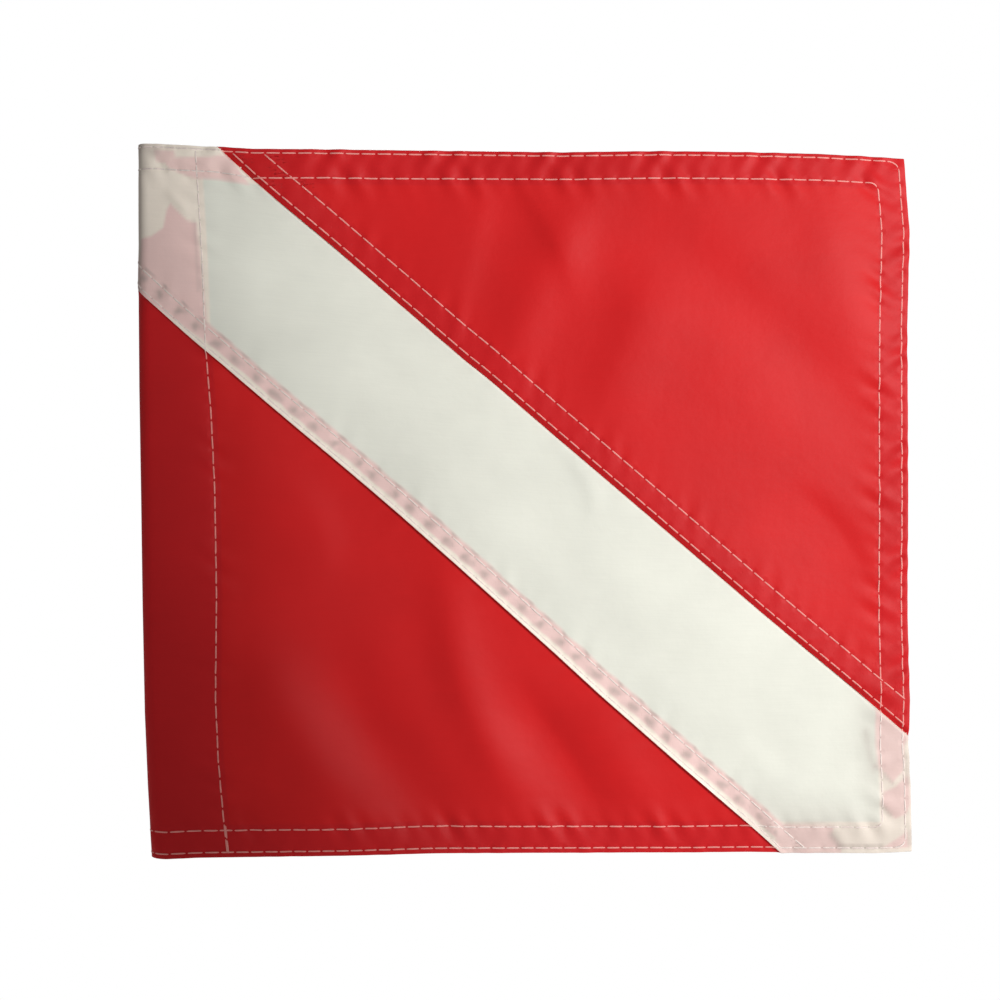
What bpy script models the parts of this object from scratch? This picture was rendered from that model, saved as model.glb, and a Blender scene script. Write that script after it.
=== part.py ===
"""Diver-down flag of a dive float: three sewn nylon panels with a sleeve for the pole.

The flag stands upright, as it flies. Its sleeve's axis is the Z axis, with the
sleeve's lower mouth at the origin, +X runs along the fly and the front looks
along -Y. Every place on the cloth is first a point (u, v, n) of the flat flag:
u is the distance from the hoist fold, v the height over the foot and n the
depth behind the front. Cloth past an edge, as where u or v is below zero, is
what lies folded to the back. fold_hems() and hang() take such a point to its
place in space.
"""

import math
from collections import namedtuple

import bmesh
import bpy

MM = 0.001

# The finished flag
FLY = 330.2 * MM                    # length of the top edge
HOIST = 304.8 * MM                  # height at the pole
FLY_SAG = 6.2 * MM                  # how far the fly edge hangs below the hoist
CLOTH = 0.2 * MM                    # thickness of the nylon
LAYER = 0.5 * MM                    # step from one layer of cloth to the next, air included

# The white stripe, by the places where its two seams meet the edges
UPPER_SEAM_TOP_U = 38.9 * MM        # along the top edge
UPPER_SEAM_FLY_V = 51.9 * MM        # up the fly edge
LOWER_SEAM_HOIST_V = 238.7 * MM     # up the hoist fold
LOWER_SEAM_FOOT_U = 272.7 * MM      # along the foot

# Hems
HEM_WIDTH = 14.5 * MM
MITRE_AIR = 0.3 * MM                # air where the flaps of two hems meet in a corner
HEM_STEPS = 3                       # faces round a hem's fold

# Sleeve
SLEEVE_ROW = 29.5 * MM              # hoist fold to the row that closes the sleeve
SLEEVE_EDGE = 3.0 * MM              # what the sleeve's flap runs past that row
SLEEVE_DEPTH = 10.0 * MM            # front to back of the opened sleeve
FLAP_RISE = 24.0 * MM               # height over which the flap comes down from the hems
SLEEVE_AXIS_U = 10.5 * MM           # hoist fold to the middle of the sleeve's open part
SLEEVE_STEPS = 7                    # faces round the hoist fold
FLAP_STEPS = 5                      # faces across the sleeve's back

# Flat-felled seams
SEAM_LAP = 10.0 * MM                # front fold to back fold
SEAM_BITE = 3.5 * MM                # front fold to the raw edge that is tucked behind it
SEAM_RAW = 1.4 * MM                 # back fold to the other raw edge
TUCK_EASE = 10.0 * MM               # length past a hem over which a seam thickens
SEAM_STEPS = 3                      # faces round a seam's fold

# Rows of stitches
HEM_ROW_OUTER = 3.0 * MM            # edge of the flag to the outer row
HEM_ROW_INNER = 12.2 * MM           # edge of the flag to the inner row
ROW_CORNER = 4.0 * MM               # radius at which a row turns a corner
SEAM_ROW_EDGE = 1.7 * MM            # front fold to the row along it
SEAM_ROW_INNER = 8.6 * MM           # front fold to the other row
THREAD = 0.5 * MM                   # diameter
THREAD_AIR = 0.3 * MM               # air between a thread and what it lies on
ROW_END = 2.0 * MM                  # edge of the cloth to the end of a row
ROW_RAMP = 2.0 * MM                 # length in which a row climbs over a fold or another row
ROW_SAMPLE = 1.0 * MM               # step along a row while its course is worked out
ROW_SAG = 0.07 * MM                 # most that a straight piece of a row may leave its course
CORNER_STEPS = 4                    # pieces round the corner of a row

# Soft waves of the hanging cloth: depth, waves along the fly, waves up the hoist, start in turns
WAVE_DEPTHS = (2.6 * MM, 1.5 * MM, 0.8 * MM)
WAVE_SHARES = ((0.55, 0.30, 0.10), (1.10, -0.75, 0.55), (1.60, 1.45, 0.20))
WAVE_FADE = 90.0 * MM               # sleeve to where the waves have their full depth
CLOTH_GRID = 27.0 * MM              # side of a face of the waved cloth

# Looks
RED = (0.55, 0.018, 0.022, 1.0)
WHITE = (0.74, 0.73, 0.66, 1.0)
THREAD_COLOUR = (0.80, 0.66, 0.58, 1.0)
CLOTH_ROUGHNESS = 0.62
THREAD_ROUGHNESS = 0.5

# Worked out from the sizes above
HEM_RADIUS = 1.5 * LAYER            # of the outer layer's fold, so that four layers fit in it
SLEEVE_RADIUS = SLEEVE_DEPTH / 2
HEM_CUT = HEM_WIDTH + (math.pi - 2) * HEM_RADIUS
FLAP = SLEEVE_ROW + SLEEVE_EDGE
FLAP_CUT = FLAP + (math.pi - 2) * SLEEVE_RADIUS
TUCK_CUT = (math.pi - 2) * LAYER    # cloth that a seam's fold uses up
TUCK_CLEAR = HEM_WIDTH + TUCK_EASE
ROW_RISE = CLOTH / 2 + THREAD_AIR + THREAD / 2

Seam = namedtuple("Seam", "start along over length")


def seam_between(start, end):
    """A seam's front fold, as its start, its direction, the side of the cloth on top, its length."""
    length = math.dist(start, end)
    along = ((end[0] - start[0]) / length, (end[1] - start[1]) / length)
    return Seam(start, along, (-along[1], along[0]), length)


UPPER_SEAM = seam_between((UPPER_SEAM_TOP_U, HOIST), (FLY, UPPER_SEAM_FLY_V))
LOWER_SEAM = seam_between((0.0, LOWER_SEAM_HOIST_V), (LOWER_SEAM_FOOT_U, 0.0))


def seam_place(seam, u, v):
    """Distance along a seam, and past its front fold, of a point of the flat flag."""
    du, dv = u - seam.start[0], v - seam.start[1]
    return du * seam.along[0] + dv * seam.along[1], -(du * seam.over[0] + dv * seam.over[1])


def seam_point(seam, distance, past):
    """The point of the flat flag at a distance along a seam and past its front fold."""
    return tuple(seam.start[i] + distance * seam.along[i] - past * seam.over[i] for i in (0, 1))


def tuck_range(seam):
    """The stretch of a seam that is clear of hems and sleeve, where its edges are tucked in."""
    clear = (TUCK_CLEAR + SEAM_LAP * seam.over[1]) / -seam.along[1]
    clear_side = (max(TUCK_CLEAR, FLAP + TUCK_EASE) + SEAM_LAP * seam.over[0]) / seam.along[0]
    return max(clear, clear_side), seam.length - max(clear, clear_side)


def smooth(share):
    """0 below a share of 0, 1 above 1, and a soft step between."""
    share = min(max(share, 0.0), 1.0)
    return share * share * (3 - 2 * share)


def turn(past, depth, radius):
    """A point of cloth near a fold at 0: where it lies once the cloth past 0 is turned back."""
    arc = past + radius
    if arc <= 0:
        return past, depth
    angle = arc / radius
    if angle < math.pi:
        reach = radius - depth
        return -radius + reach * math.sin(angle), radius - reach * math.cos(angle)
    return -radius - (arc - math.pi * radius), 2 * radius - depth


def under_depth(u, v):
    """Depth of the lower cloth of a seam: one layer in hems and sleeve, three where edges tuck in."""
    clear = min(v, HOIST - v, FLY - u, u - FLAP + HEM_WIDTH)
    return LAYER * (1 + 2 * smooth((clear - HEM_WIDTH) / TUCK_EASE))


def upper_red_depth(u, v):
    """The upper red panel is on top throughout."""
    return 0.0


def white_depth(u, v):
    """The white band dips from the top, at its lower seam, to beneath the upper red panel."""
    beyond_lower = max(-seam_place(LOWER_SEAM, u, v)[1] - SEAM_LAP, 0.0)
    before_upper = max(seam_place(UPPER_SEAM, u, v)[1], 0.0)
    span = beyond_lower + before_upper
    return under_depth(u, v) * (beyond_lower / span if span else 1.0)


def front_depth(u, v):
    """Depth of the cloth that shows from the front."""
    if seam_place(UPPER_SEAM, u, v)[1] <= 0:
        return upper_red_depth(u, v)
    if seam_place(LOWER_SEAM, u, v)[1] <= 0:
        return white_depth(u, v)
    return under_depth(u, v)


def fold_hems(u, v, depth):
    """Turn what lies past the top, the foot and the fly edge to the back."""
    past, depth = turn(v - HOIST, depth, HEM_RADIUS)
    v = HOIST + past
    past, depth = turn(-v, depth, HEM_RADIUS)
    v = -past
    past, depth = turn(u - FLY, depth, HEM_RADIUS)
    return FLY + past, v, depth


def flap_depth(v):
    """Depth of the sleeve's flap at its row: it rides over the hems' layers near both mouths."""
    over_cloth = 3 * LAYER
    over_hems = 4 * HEM_RADIUS + LAYER
    from_mouth = min(v, HOIST - v) - HEM_WIDTH
    return over_hems + (over_cloth - over_hems) * smooth(from_mouth / FLAP_RISE)


def wave(u, v):
    """Depth of the cloth's soft waves, which die out towards the pole."""
    depth = 0.0
    for size, (along_fly, up_hoist, start) in zip(WAVE_DEPTHS, WAVE_SHARES):
        depth += size * math.sin(2 * math.pi * (along_fly * u / FLY + up_hoist * v / HOIST + start))
    return depth * smooth((u - FLAP) / WAVE_FADE)


def hang(u, v, depth):
    """Close the sleeve round the pole's place, wave the cloth and put the flag in its frame."""
    arc = SLEEVE_RADIUS - u
    angle = arc / SLEEVE_RADIUS
    x, y = u, depth
    if 0 < angle < math.pi:
        reach = SLEEVE_RADIUS - depth
        x = SLEEVE_RADIUS - reach * math.sin(angle)
        y = SLEEVE_RADIUS - reach * math.cos(angle)
    elif angle >= math.pi:
        x = SLEEVE_RADIUS + arc - math.pi * SLEEVE_RADIUS
        share = min((x - SLEEVE_RADIUS) / (SLEEVE_ROW - SLEEVE_RADIUS), 1.0)
        at_row = flap_depth(v)
        y = at_row + (SLEEVE_DEPTH - at_row) * (1 - share * share) ** 1.5 - depth
    return x - SLEEVE_AXIS_U, y + wave(x, v) - SLEEVE_RADIUS, v - FLY_SAG * x / FLY


def lay(u, v, depth_of, over_seam, under_seam):
    """A point of a panel's cut cloth in the flat flag, with its seam edges tucked in."""
    for seam, is_over in ((over_seam, True), (under_seam, False)):
        if seam is None:
            continue
        distance, past = seam_place(seam, u, v)
        first, last = tuck_range(seam)
        if not first - CLOTH < distance < last + CLOTH:
            continue
        beyond = past if is_over else -past - SEAM_LAP
        if beyond > -LAYER:
            beyond, rise = turn(beyond, 0.0, LAYER)
            past = beyond if is_over else -SEAM_LAP - beyond
            u, v = seam_point(seam, distance, past)
            return u, v, rise if is_over else 3 * LAYER - rise
    return u, v, depth_of(u, v)


def steps(first, last, count):
    """Even steps from first to last, both ends included."""
    return [first + (last - first) * i / count for i in range(count + 1)]


def fold_lines(edge, sign, radius, count):
    """Lines round a fold at an edge: sign is +1 where the cloth past it has the higher number."""
    return [edge + sign * s for s in steps(-radius, (math.pi - 1) * radius, count)]


def cloth_lines(marks):
    """Fill the wide gaps between marked lines with even ones."""
    lines = []
    marks = sorted(marks)
    for low, high in zip(marks, marks[1:]):
        lines += steps(low, high, max(1, math.ceil((high - low) / CLOTH_GRID)))[:-1]
    return lines[1:]


U_LINES = cloth_lines(
    [-FLAP_CUT, FLAP, FLAP + TUCK_EASE / 2, FLAP + TUCK_EASE, FLY - TUCK_CLEAR]
    + [-(SLEEVE_ROW + (math.pi - 2) * SLEEVE_RADIUS), FLY - HEM_WIDTH, FLY + HEM_CUT]
    + [-s for s in steps((math.pi - 1) * SLEEVE_RADIUS, SLEEVE_ROW, FLAP_STEPS)[:-1]]
    + fold_lines(0.0, -1, SLEEVE_RADIUS, SLEEVE_STEPS)
    + fold_lines(FLY, 1, HEM_RADIUS, HEM_STEPS)
)
V_LINES = cloth_lines(
    [-HEM_CUT, HEM_WIDTH, TUCK_CLEAR, HEM_WIDTH + FLAP_RISE]
    + [HOIST + HEM_CUT, HOIST - HEM_WIDTH, HOIST - TUCK_CLEAR, HOIST - HEM_WIDTH - FLAP_RISE]
    + fold_lines(0.0, -1, HEM_RADIUS, HEM_STEPS)
    + fold_lines(HOIST, 1, HEM_RADIUS, HEM_STEPS)
)


def cut(mesh, point, normal, faces=None, clear=False):
    """Cut the flat cloth along a line, and drop what lies on the normal's side if asked to."""
    faces = list(mesh.faces) if faces is None else faces
    geometry = set(faces)
    for face in faces:
        geometry.update(face.verts, face.edges)
    bmesh.ops.bisect_plane(
        mesh,
        geom=list(geometry),
        plane_co=(*point, 0.0),
        plane_no=(*normal, 0.0),
        clear_outer=clear,
    )


def drop(mesh, is_waste):
    """Remove the faces whose middle the test picks."""
    waste = []
    for face in mesh.faces:
        middle = face.calc_center_median()
        if is_waste(middle.x, middle.y):
            waste.append(face)
    bmesh.ops.delete(mesh, geom=waste, context="FACES")


def cut_over_edge(mesh, seam):
    """The cloth on top of a seam ends at the front fold, or past it where it is tucked in."""
    tuck = SEAM_LAP - SEAM_RAW + TUCK_CUT
    cut(mesh, seam_point(seam, 0.0, tuck), [-side for side in seam.over], clear=True)
    for past in steps(-LAYER, (math.pi - 1) * LAYER, SEAM_STEPS):
        cut(mesh, seam_point(seam, 0.0, past), seam.over)
    cut(mesh, seam_point(seam, 0.0, 0.0), seam.over)
    trim_tuck(mesh, seam, lambda past: past > 0)


def cut_under_edge(mesh, seam):
    """The cloth under a seam ends at the back fold, or past it where it is tucked in."""
    tuck = SEAM_LAP - SEAM_BITE + TUCK_CUT
    cut(mesh, seam_point(seam, 0.0, -SEAM_LAP - tuck), seam.over, clear=True)
    for past in steps(-LAYER, (math.pi - 1) * LAYER, SEAM_STEPS):
        cut(mesh, seam_point(seam, 0.0, -SEAM_LAP - past), seam.over)
    cut(mesh, seam_point(seam, 0.0, -SEAM_LAP), seam.over)
    cut(mesh, seam_point(seam, 0.0, 0.0), seam.over)
    trim_tuck(mesh, seam, lambda past: past < -SEAM_LAP)


def trim_tuck(mesh, seam, is_tucked):
    """Cut the tucked edge off where the seam runs into a hem or the sleeve."""
    first, last = tuck_range(seam)
    for distance in (first, last):
        tucked = []
        for face in mesh.faces:
            middle = face.calc_center_median()
            if is_tucked(seam_place(seam, middle.x, middle.y)[1]):
                tucked.append(face)
        cut(mesh, seam_point(seam, distance, 0.0), seam.along, tucked)

    def is_waste(u, v):
        distance, past = seam_place(seam, u, v)
        return is_tucked(past) and not first < distance < last

    drop(mesh, is_waste)


def cut_mitres(mesh):
    """Cut the corners of the fly edge away, so that the flaps of two hems meet at 45 degrees."""
    for foot, sign in ((HOIST, 1), (0.0, -1)):
        corner = (FLY - MITRE_AIR, foot)
        cut(mesh, (FLY, foot), (1.0, 0.0))
        flap = [face for face in mesh.faces if sign * (face.calc_center_median().y - foot) > 0]
        cut(mesh, corner, (1.0, sign), flap)
        side = [face for face in mesh.faces if face.calc_center_median().x > FLY]
        cut(mesh, (FLY, foot - sign * MITRE_AIR), (1.0, sign), side)

    def is_waste(u, v):
        for foot, sign in ((HOIST, 1), (0.0, -1)):
            up = sign * (v - foot)
            if (up > 0 or u > FLY) and (u - FLY) + up > -MITRE_AIR:
                return True
        return False

    cut(mesh, (0.0, HOIST), (0.0, 1.0))
    cut(mesh, (0.0, 0.0), (0.0, 1.0))
    drop(mesh, is_waste)


def material(name, colour, roughness):
    """A plain finish of one colour."""
    finish = bpy.data.materials.new(name)
    finish.use_nodes = True
    shader = finish.node_tree.nodes["Principled BSDF"]
    shader.inputs["Base Color"].default_value = colour
    shader.inputs["Roughness"].default_value = roughness
    shader.inputs["Metallic"].default_value = 0.0
    return finish


def make_panel(flag, name, depth_of, over_seam, under_seam, colour):
    """One panel: cut flat, folded at its seams, hems and sleeve, and given its thickness."""
    mesh = bmesh.new()
    bmesh.ops.create_grid(mesh, x_segments=1, y_segments=1, size=0.5)
    for vert in mesh.verts:
        vert.co.x = -FLAP_CUT + (vert.co.x + 0.5) * (FLAP_CUT + FLY + HEM_CUT)
        vert.co.y = -HEM_CUT + (vert.co.y + 0.5) * (HOIST + 2 * HEM_CUT)
    if over_seam:
        cut_over_edge(mesh, over_seam)
    if under_seam:
        cut_under_edge(mesh, under_seam)
    for line in U_LINES:
        cut(mesh, (line, 0.0), (1.0, 0.0))
    for line in V_LINES:
        cut(mesh, (0.0, line), (0.0, 1.0))
    cut_mitres(mesh)
    loose = [vert for vert in mesh.verts if not vert.link_faces]
    bmesh.ops.delete(mesh, geom=loose, context="VERTS")
    bmesh.ops.remove_doubles(mesh, verts=mesh.verts, dist=CLOTH / 10)
    for vert in mesh.verts:
        u, v, depth = lay(vert.co.x, vert.co.y, depth_of, over_seam, under_seam)
        vert.co = hang(*fold_hems(u, v, depth))
    data = bpy.data.meshes.new(name)
    mesh.to_mesh(data)
    mesh.free()
    data.shade_smooth()
    panel = bpy.data.objects.new(name, data)
    panel.data.materials.append(material(name, colour, CLOTH_ROUGHNESS))
    solidify = panel.modifiers.new("Cloth", "SOLIDIFY")
    solidify.thickness = CLOTH
    solidify.offset = 0.0
    flag.objects.link(panel)


def round_corner(before, corner, after):
    """Points of an arc that rounds a corner of a row."""
    centre = [corner[i] + sum(math.copysign(ROW_CORNER, end[i] - corner[i])
                              for end in (before, after) if abs(end[i] - corner[i]) > CLOTH)
              for i in (0, 1)]
    first = math.atan2(corner[1] - centre[1], corner[0] - centre[0]) + math.pi / 4
    return [
        (centre[0] + ROW_CORNER * math.cos(first - turned), centre[1] + ROW_CORNER * math.sin(first - turned))
        for turned in steps(0.0, math.pi / 2, CORNER_STEPS)
    ]


def sampled(path):
    """Points along a path at short even steps, each run's ends included."""
    points = [path[0]]
    for start, end in zip(path, path[1:]):
        count = max(1, math.ceil(math.dist(start, end) / ROW_SAMPLE))
        for i in range(1, count + 1):
            points.append(tuple(start[k] + (end[k] - start[k]) * i / count for k in (0, 1)))
    return points


def levelled(needed):
    """The least heights that clear every needed height, with soft ramps between."""
    reach = max(1, round(ROW_RAMP / ROW_SAMPLE))
    highest = [max(needed[max(0, i - reach):i + reach + 1]) for i in range(len(needed))]
    level = []
    for i in range(len(needed)):
        around = highest[max(0, i - reach):i + reach + 1]
        level.append(sum(around) / len(around))
    return level


def thinned(points):
    """Leave out the points that lie on a straight run between their neighbours."""
    kept = [0]
    while kept[-1] < len(points) - 1:
        start = kept[-1]
        end = start + 1
        while end + 1 < len(points) and is_straight(points, start, end + 1):
            end += 1
        kept.append(end)
    return [points[i] for i in kept]


def is_straight(points, start, end):
    """Whether the points between two others lie on the line that joins them."""
    line = [points[end][k] - points[start][k] for k in range(3)]
    length = math.hypot(*line)
    for point in points[start + 1:end]:
        offset = [point[k] - points[start][k] for k in range(3)]
        share = sum(offset[k] * line[k] for k in range(3)) / length ** 2
        if math.dist(offset, [share * side for side in line]) > ROW_SAG:
            return False
    return True


def make_thread(flag, name, path, base, place, crossed):
    """One thread: a tube along a row that climbs over folds and over the rows sewn before it."""
    points = sampled(path)
    needed = []
    for point in points:
        height = base(*point) + ROW_RISE
        if any(math.dist(point, other) < THREAD + THREAD_AIR + ROW_SAMPLE for other in crossed):
            height += THREAD + THREAD_AIR
        needed.append(height)
    course = thinned([place(*point, height) for point, height in zip(points, levelled(needed))])
    curve = bpy.data.curves.new(name, "CURVE")
    curve.dimensions = "3D"
    curve.bevel_depth = THREAD / 2
    curve.bevel_resolution = 1
    curve.use_fill_caps = True
    spline = curve.splines.new("POLY")
    spline.points.add(len(course) - 1)
    for point, co in zip(spline.points, course):
        point.co = (*co, 1.0)
    thread = bpy.data.objects.new(name, curve)
    thread.data.materials.append(material(name, THREAD_COLOUR, THREAD_ROUGHNESS))
    flag.objects.link(thread)
    return points


def front_height(u, v):
    """Height of the front cloth over the front of the flag, seen from the front."""
    return -front_depth(u, v)


def front_place(u, v, height):
    """Place of a point in front of the cloth, or outside the sleeve's flap."""
    return hang(u, v, -height)


def hem_back_height(u, v):
    """Height of a hem's back layer over the front of the flag, seen from the back."""
    edges = ((HOIST - v, 0.0, 1.0), (v, 0.0, -1.0), (FLY - u, 1.0, 0.0))
    inward, side_u, side_v = min(edges)
    past = 2 * inward + (math.pi - 2) * HEM_RADIUS
    return 2 * HEM_RADIUS - front_depth(u + side_u * past, v + side_v * past)


def seam_back_height(u, v):
    """Height of the lower cloth of a seam, seen from the back."""
    return under_depth(u, v)


def back_place(u, v, height):
    """Place of a point behind the cloth."""
    return hang(u, v, height)


def hem_row(inward, start_u):
    """A hem row: along the top, down the fly edge and back along the foot."""
    top = (start_u, HOIST - inward)
    top_corner = (FLY - inward, HOIST - inward)
    foot_corner = (FLY - inward, inward)
    foot = (start_u, inward)
    return ([top] + round_corner(top, top_corner, foot_corner)
            + round_corner(top_corner, foot_corner, foot) + [foot])


def seam_row(seam, inward, first_edge, last_edge):
    """A seam row: between the two places where it meets a given line."""
    ends = []
    for axis, value in (first_edge, last_edge):
        start = seam_point(seam, 0.0, -inward)
        distance = (value - start[axis]) / seam.along[axis]
        ends.append(seam_point(seam, distance, -inward))
    return ends


def make_seam_rows(flag):
    """Two rows on each seam, with the needle thread in front and the bobbin thread behind."""
    sewn = []
    top = (1, HOIST - ROW_END)
    fly = (0, FLY - ROW_END)
    flap_end = (0, -FLAP_CUT + ROW_END)
    foot = (1, ROW_END)
    top_hem = (1, HOIST - HEM_WIDTH - ROW_END)
    fly_hem = (0, FLY - HEM_WIDTH - ROW_END)
    flap_edge = (0, FLAP + ROW_END)
    foot_hem = (1, HEM_WIDTH + ROW_END)
    for seam, name, front_ends, back_ends in (
        (UPPER_SEAM, "upper_seam", (top, fly), (top_hem, fly_hem)),
        (LOWER_SEAM, "lower_seam", (flap_end, foot), (flap_edge, foot_hem)),
    ):
        for inward, row in ((SEAM_ROW_EDGE, "edge"), (SEAM_ROW_INNER, "inner")):
            front = seam_row(seam, inward, *front_ends)
            back = seam_row(seam, inward, *back_ends)
            sewn += make_thread(flag, f"{name}_{row}_needle_thread", front, front_height, front_place, [])
            make_thread(flag, f"{name}_{row}_bobbin_thread", back, seam_back_height, back_place, [])
    return sewn


def make_hem_rows(flag, sewn):
    """Two rows round the hems, which run on round the sleeve."""
    hem_rows = []
    for inward, row in ((HEM_ROW_OUTER, "outer"), (HEM_ROW_INNER, "inner")):
        front = hem_row(inward, -FLAP_CUT + ROW_END)
        back = hem_row(inward, FLAP + ROW_END)
        hem_rows += make_thread(flag, f"hem_{row}_needle_thread", front, front_height, front_place, sewn)
        make_thread(flag, f"hem_{row}_bobbin_thread", back, hem_back_height, back_place, [])
    return hem_rows


def make_sleeve_row(flag, sewn):
    """The row that closes the sleeve, sewn last and over all the others."""
    flap_row = -(SLEEVE_ROW + (math.pi - 2) * SLEEVE_RADIUS)
    front = [(SLEEVE_ROW, HOIST - ROW_END), (SLEEVE_ROW, ROW_END)]
    back = [(flap_row, HOIST - ROW_END), (flap_row, ROW_END)]
    make_thread(flag, "sleeve_row_needle_thread", front, front_height, front_place, sewn)
    make_thread(flag, "sleeve_row_bobbin_thread", back, front_height, front_place, sewn)


def main():
    for item in list(bpy.data.objects):
        bpy.data.objects.remove(item, do_unlink=True)
    flag = bpy.data.collections.new("dive_flag")
    bpy.context.scene.collection.children.link(flag)
    make_panel(flag, "upper_red_panel", upper_red_depth, UPPER_SEAM, None, RED)
    make_panel(flag, "white_band", white_depth, LOWER_SEAM, UPPER_SEAM, WHITE)
    make_panel(flag, "lower_red_panel", under_depth, None, LOWER_SEAM, RED)
    seam_rows = make_seam_rows(flag)
    hem_rows = make_hem_rows(flag, seam_rows)
    make_sleeve_row(flag, seam_rows + hem_rows)


if __name__ == "__main__":
    main()
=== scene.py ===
"""A sewn diver-down flag: three nylon panels, their folded hems, seams and rows of stitches.

Every point of the cloth is first a point (u, v, depth) of the flat flag: u is the
distance from the hoist fold, v the height over the foot and depth the distance
behind the front. What is folded to the back has u or v past an edge. The functions
take whole arrays of such points to their places in space.
"""

import math
from collections import namedtuple

import bmesh
import bpy
import numpy as np
from mathutils import Matrix, Vector


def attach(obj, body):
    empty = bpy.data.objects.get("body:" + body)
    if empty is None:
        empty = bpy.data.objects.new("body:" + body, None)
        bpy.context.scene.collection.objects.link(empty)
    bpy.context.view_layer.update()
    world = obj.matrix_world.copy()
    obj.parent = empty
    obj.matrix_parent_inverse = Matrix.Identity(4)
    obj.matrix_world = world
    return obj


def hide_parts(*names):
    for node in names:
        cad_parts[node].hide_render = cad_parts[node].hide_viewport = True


bl_info = {
    "name": "Sewn diver-down flag",
    "version": (1, 0, 0),
    "blender": (4, 5, 0),
    "location": "3D View > Sidebar > Flag",
    "description": "Makes the cloth, the stitches and the stage of a sewn flag",
    "category": "Add Mesh",
}

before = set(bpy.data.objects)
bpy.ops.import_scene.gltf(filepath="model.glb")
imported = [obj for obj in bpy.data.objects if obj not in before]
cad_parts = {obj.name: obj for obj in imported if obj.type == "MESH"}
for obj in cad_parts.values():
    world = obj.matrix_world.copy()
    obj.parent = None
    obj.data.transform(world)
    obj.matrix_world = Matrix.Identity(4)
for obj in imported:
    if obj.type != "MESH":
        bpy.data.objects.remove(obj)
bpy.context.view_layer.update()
MM = 0.001
BODY = "root"

# The finished flag, as in the CAD
FLY = 330.2 * MM
HOIST = 304.8 * MM
FLY_SAG = 6.2 * MM
UPPER_SEAM_TOP_U = 38.9 * MM
UPPER_SEAM_FLY_V = 51.9 * MM
LOWER_SEAM_HOIST_V = 238.7 * MM
LOWER_SEAM_FOOT_U = 272.7 * MM

# Hems and sleeve
HEM_WIDTH = 14.5 * MM
MITRE_AIR = 0.3 * MM
SLEEVE_ROW = 29.5 * MM
SLEEVE_EDGE = 3.0 * MM
SLEEVE_RADIUS = 5.0 * MM
FLAP_RISE = 24.0 * MM
SLEEVE_AXIS_U = 10.5 * MM

# Flat-felled seams
UPPER_SEAM_LAP = 12.2 * MM
LOWER_SEAM_LAP = 10.0 * MM
SEAM_BITE = 3.5 * MM
SEAM_RAW = 1.4 * MM
TUCK_EASE = 10.0 * MM

# Rows of stitches: a hem row's distances from the top, the fly edge and the foot, and a seam's two
# rows' distances from its front fold
HEM_ROW_OUTER = (1.6 * MM, 2.85 * MM, 2.35 * MM)
HEM_ROW_INNER = (11.4 * MM, 12.75 * MM, 11.6 * MM)
ROW_CORNER = 4.0 * MM
CORNER_STEPS = 6
UPPER_SEAM_ROWS = (2.3 * MM, 10.7 * MM)
LOWER_SEAM_ROWS = (1.7 * MM, 8.6 * MM)
ROW_END = 2.0 * MM

# Thickness of the cloth and step from one layer to the next, air included
CLOTH = 0.13 * MM
LAYER = 0.24 * MM
HEM_RADIUS = 1.5 * LAYER
HEM_CUT = HEM_WIDTH + (math.pi - 2) * HEM_RADIUS
FLAP = SLEEVE_ROW + SLEEVE_EDGE
FLAP_CUT = FLAP + (math.pi - 2) * SLEEVE_RADIUS
FLAP_ROW = SLEEVE_ROW + (math.pi - 2) * SLEEVE_RADIUS
TUCK_CUT = (math.pi - 2) * LAYER
TUCK_CLEAR = HEM_WIDTH + TUCK_EASE
FOLD_STEPS = 6
SLEEVE_STEPS = 16
FLAP_ARCH_POWER = 1.5

# Points closer than this are welded, lines are told apart to this many decimals of a metre, and the
# last is a distance beyond all of the flag
WELD = CLOTH / 10
LINE_DECIMALS = 7
FAR_OFF = 1.0

# Soft waves of the hanging cloth: depth, waves along the fly, waves up the hoist, start in turns
WAVE_DEPTHS = (2.6 * MM, 1.5 * MM, 0.8 * MM)
WAVE_SHARES = ((0.55, 0.30, 0.10), (1.10, -0.75, 0.55), (1.60, 1.45, 0.20))
WAVE_FADE = 90.0 * MM

# How far the edges and the sleeve's row leave their straight lines: shares of their length, each with
# an offset in mm
HOIST_BOW = (
    (0, -0.2), (0.1, -1.4), (0.2, -2.2), (0.35, -2.4), (0.5, -2.3), (0.65, -2.3), (0.8, -1.9),
    (0.85, -1.4), (0.9, -1.3), (1, -0.9),
)
FLY_BOW = (
    (0, 0), (0.1, 0), (0.16, -0.5), (0.22, 0.4), (0.35, 0), (0.5, 0.7), (0.6, 0.8), (0.75, 0.8),
    (0.8, 1.4), (0.84, 1.9), (0.89, 2.6), (0.94, 1.6), (1, 0.4),
)
TOP_BOW = (
    (0, 0), (0.03, 0.1), (0.11, -0.5), (0.16, -1.4), (0.26, -1), (0.4, -0.8), (0.55, -0.9),
    (0.67, 0), (0.79, 0.2), (0.88, 0.2), (0.95, -0.3), (1, -0.9),
)
FOOT_BOW = (
    (0, 0), (0.02, -0.6), (0.05, -0.1), (0.25, 0.2), (0.36, 0.5), (0.5, 0.2), (0.56, -0.1),
    (0.7, -0.2), (0.78, 0.2), (0.84, 0.1), (0.9, 0.2), (0.95, 0.1), (1, 0.8),
)
ROW_BOW = (
    (0, 3.2), (0.055, 1.6), (0.135, -0.2), (0.22, -0.9), (0.36, 0.1), (0.51, 0), (0.615, -1.1),
    (0.71, -3), (0.82, -3.7), (0.89, -4.5), (1, -6),
)
ROW_BOW_FADE = 110.0 * MM

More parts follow.
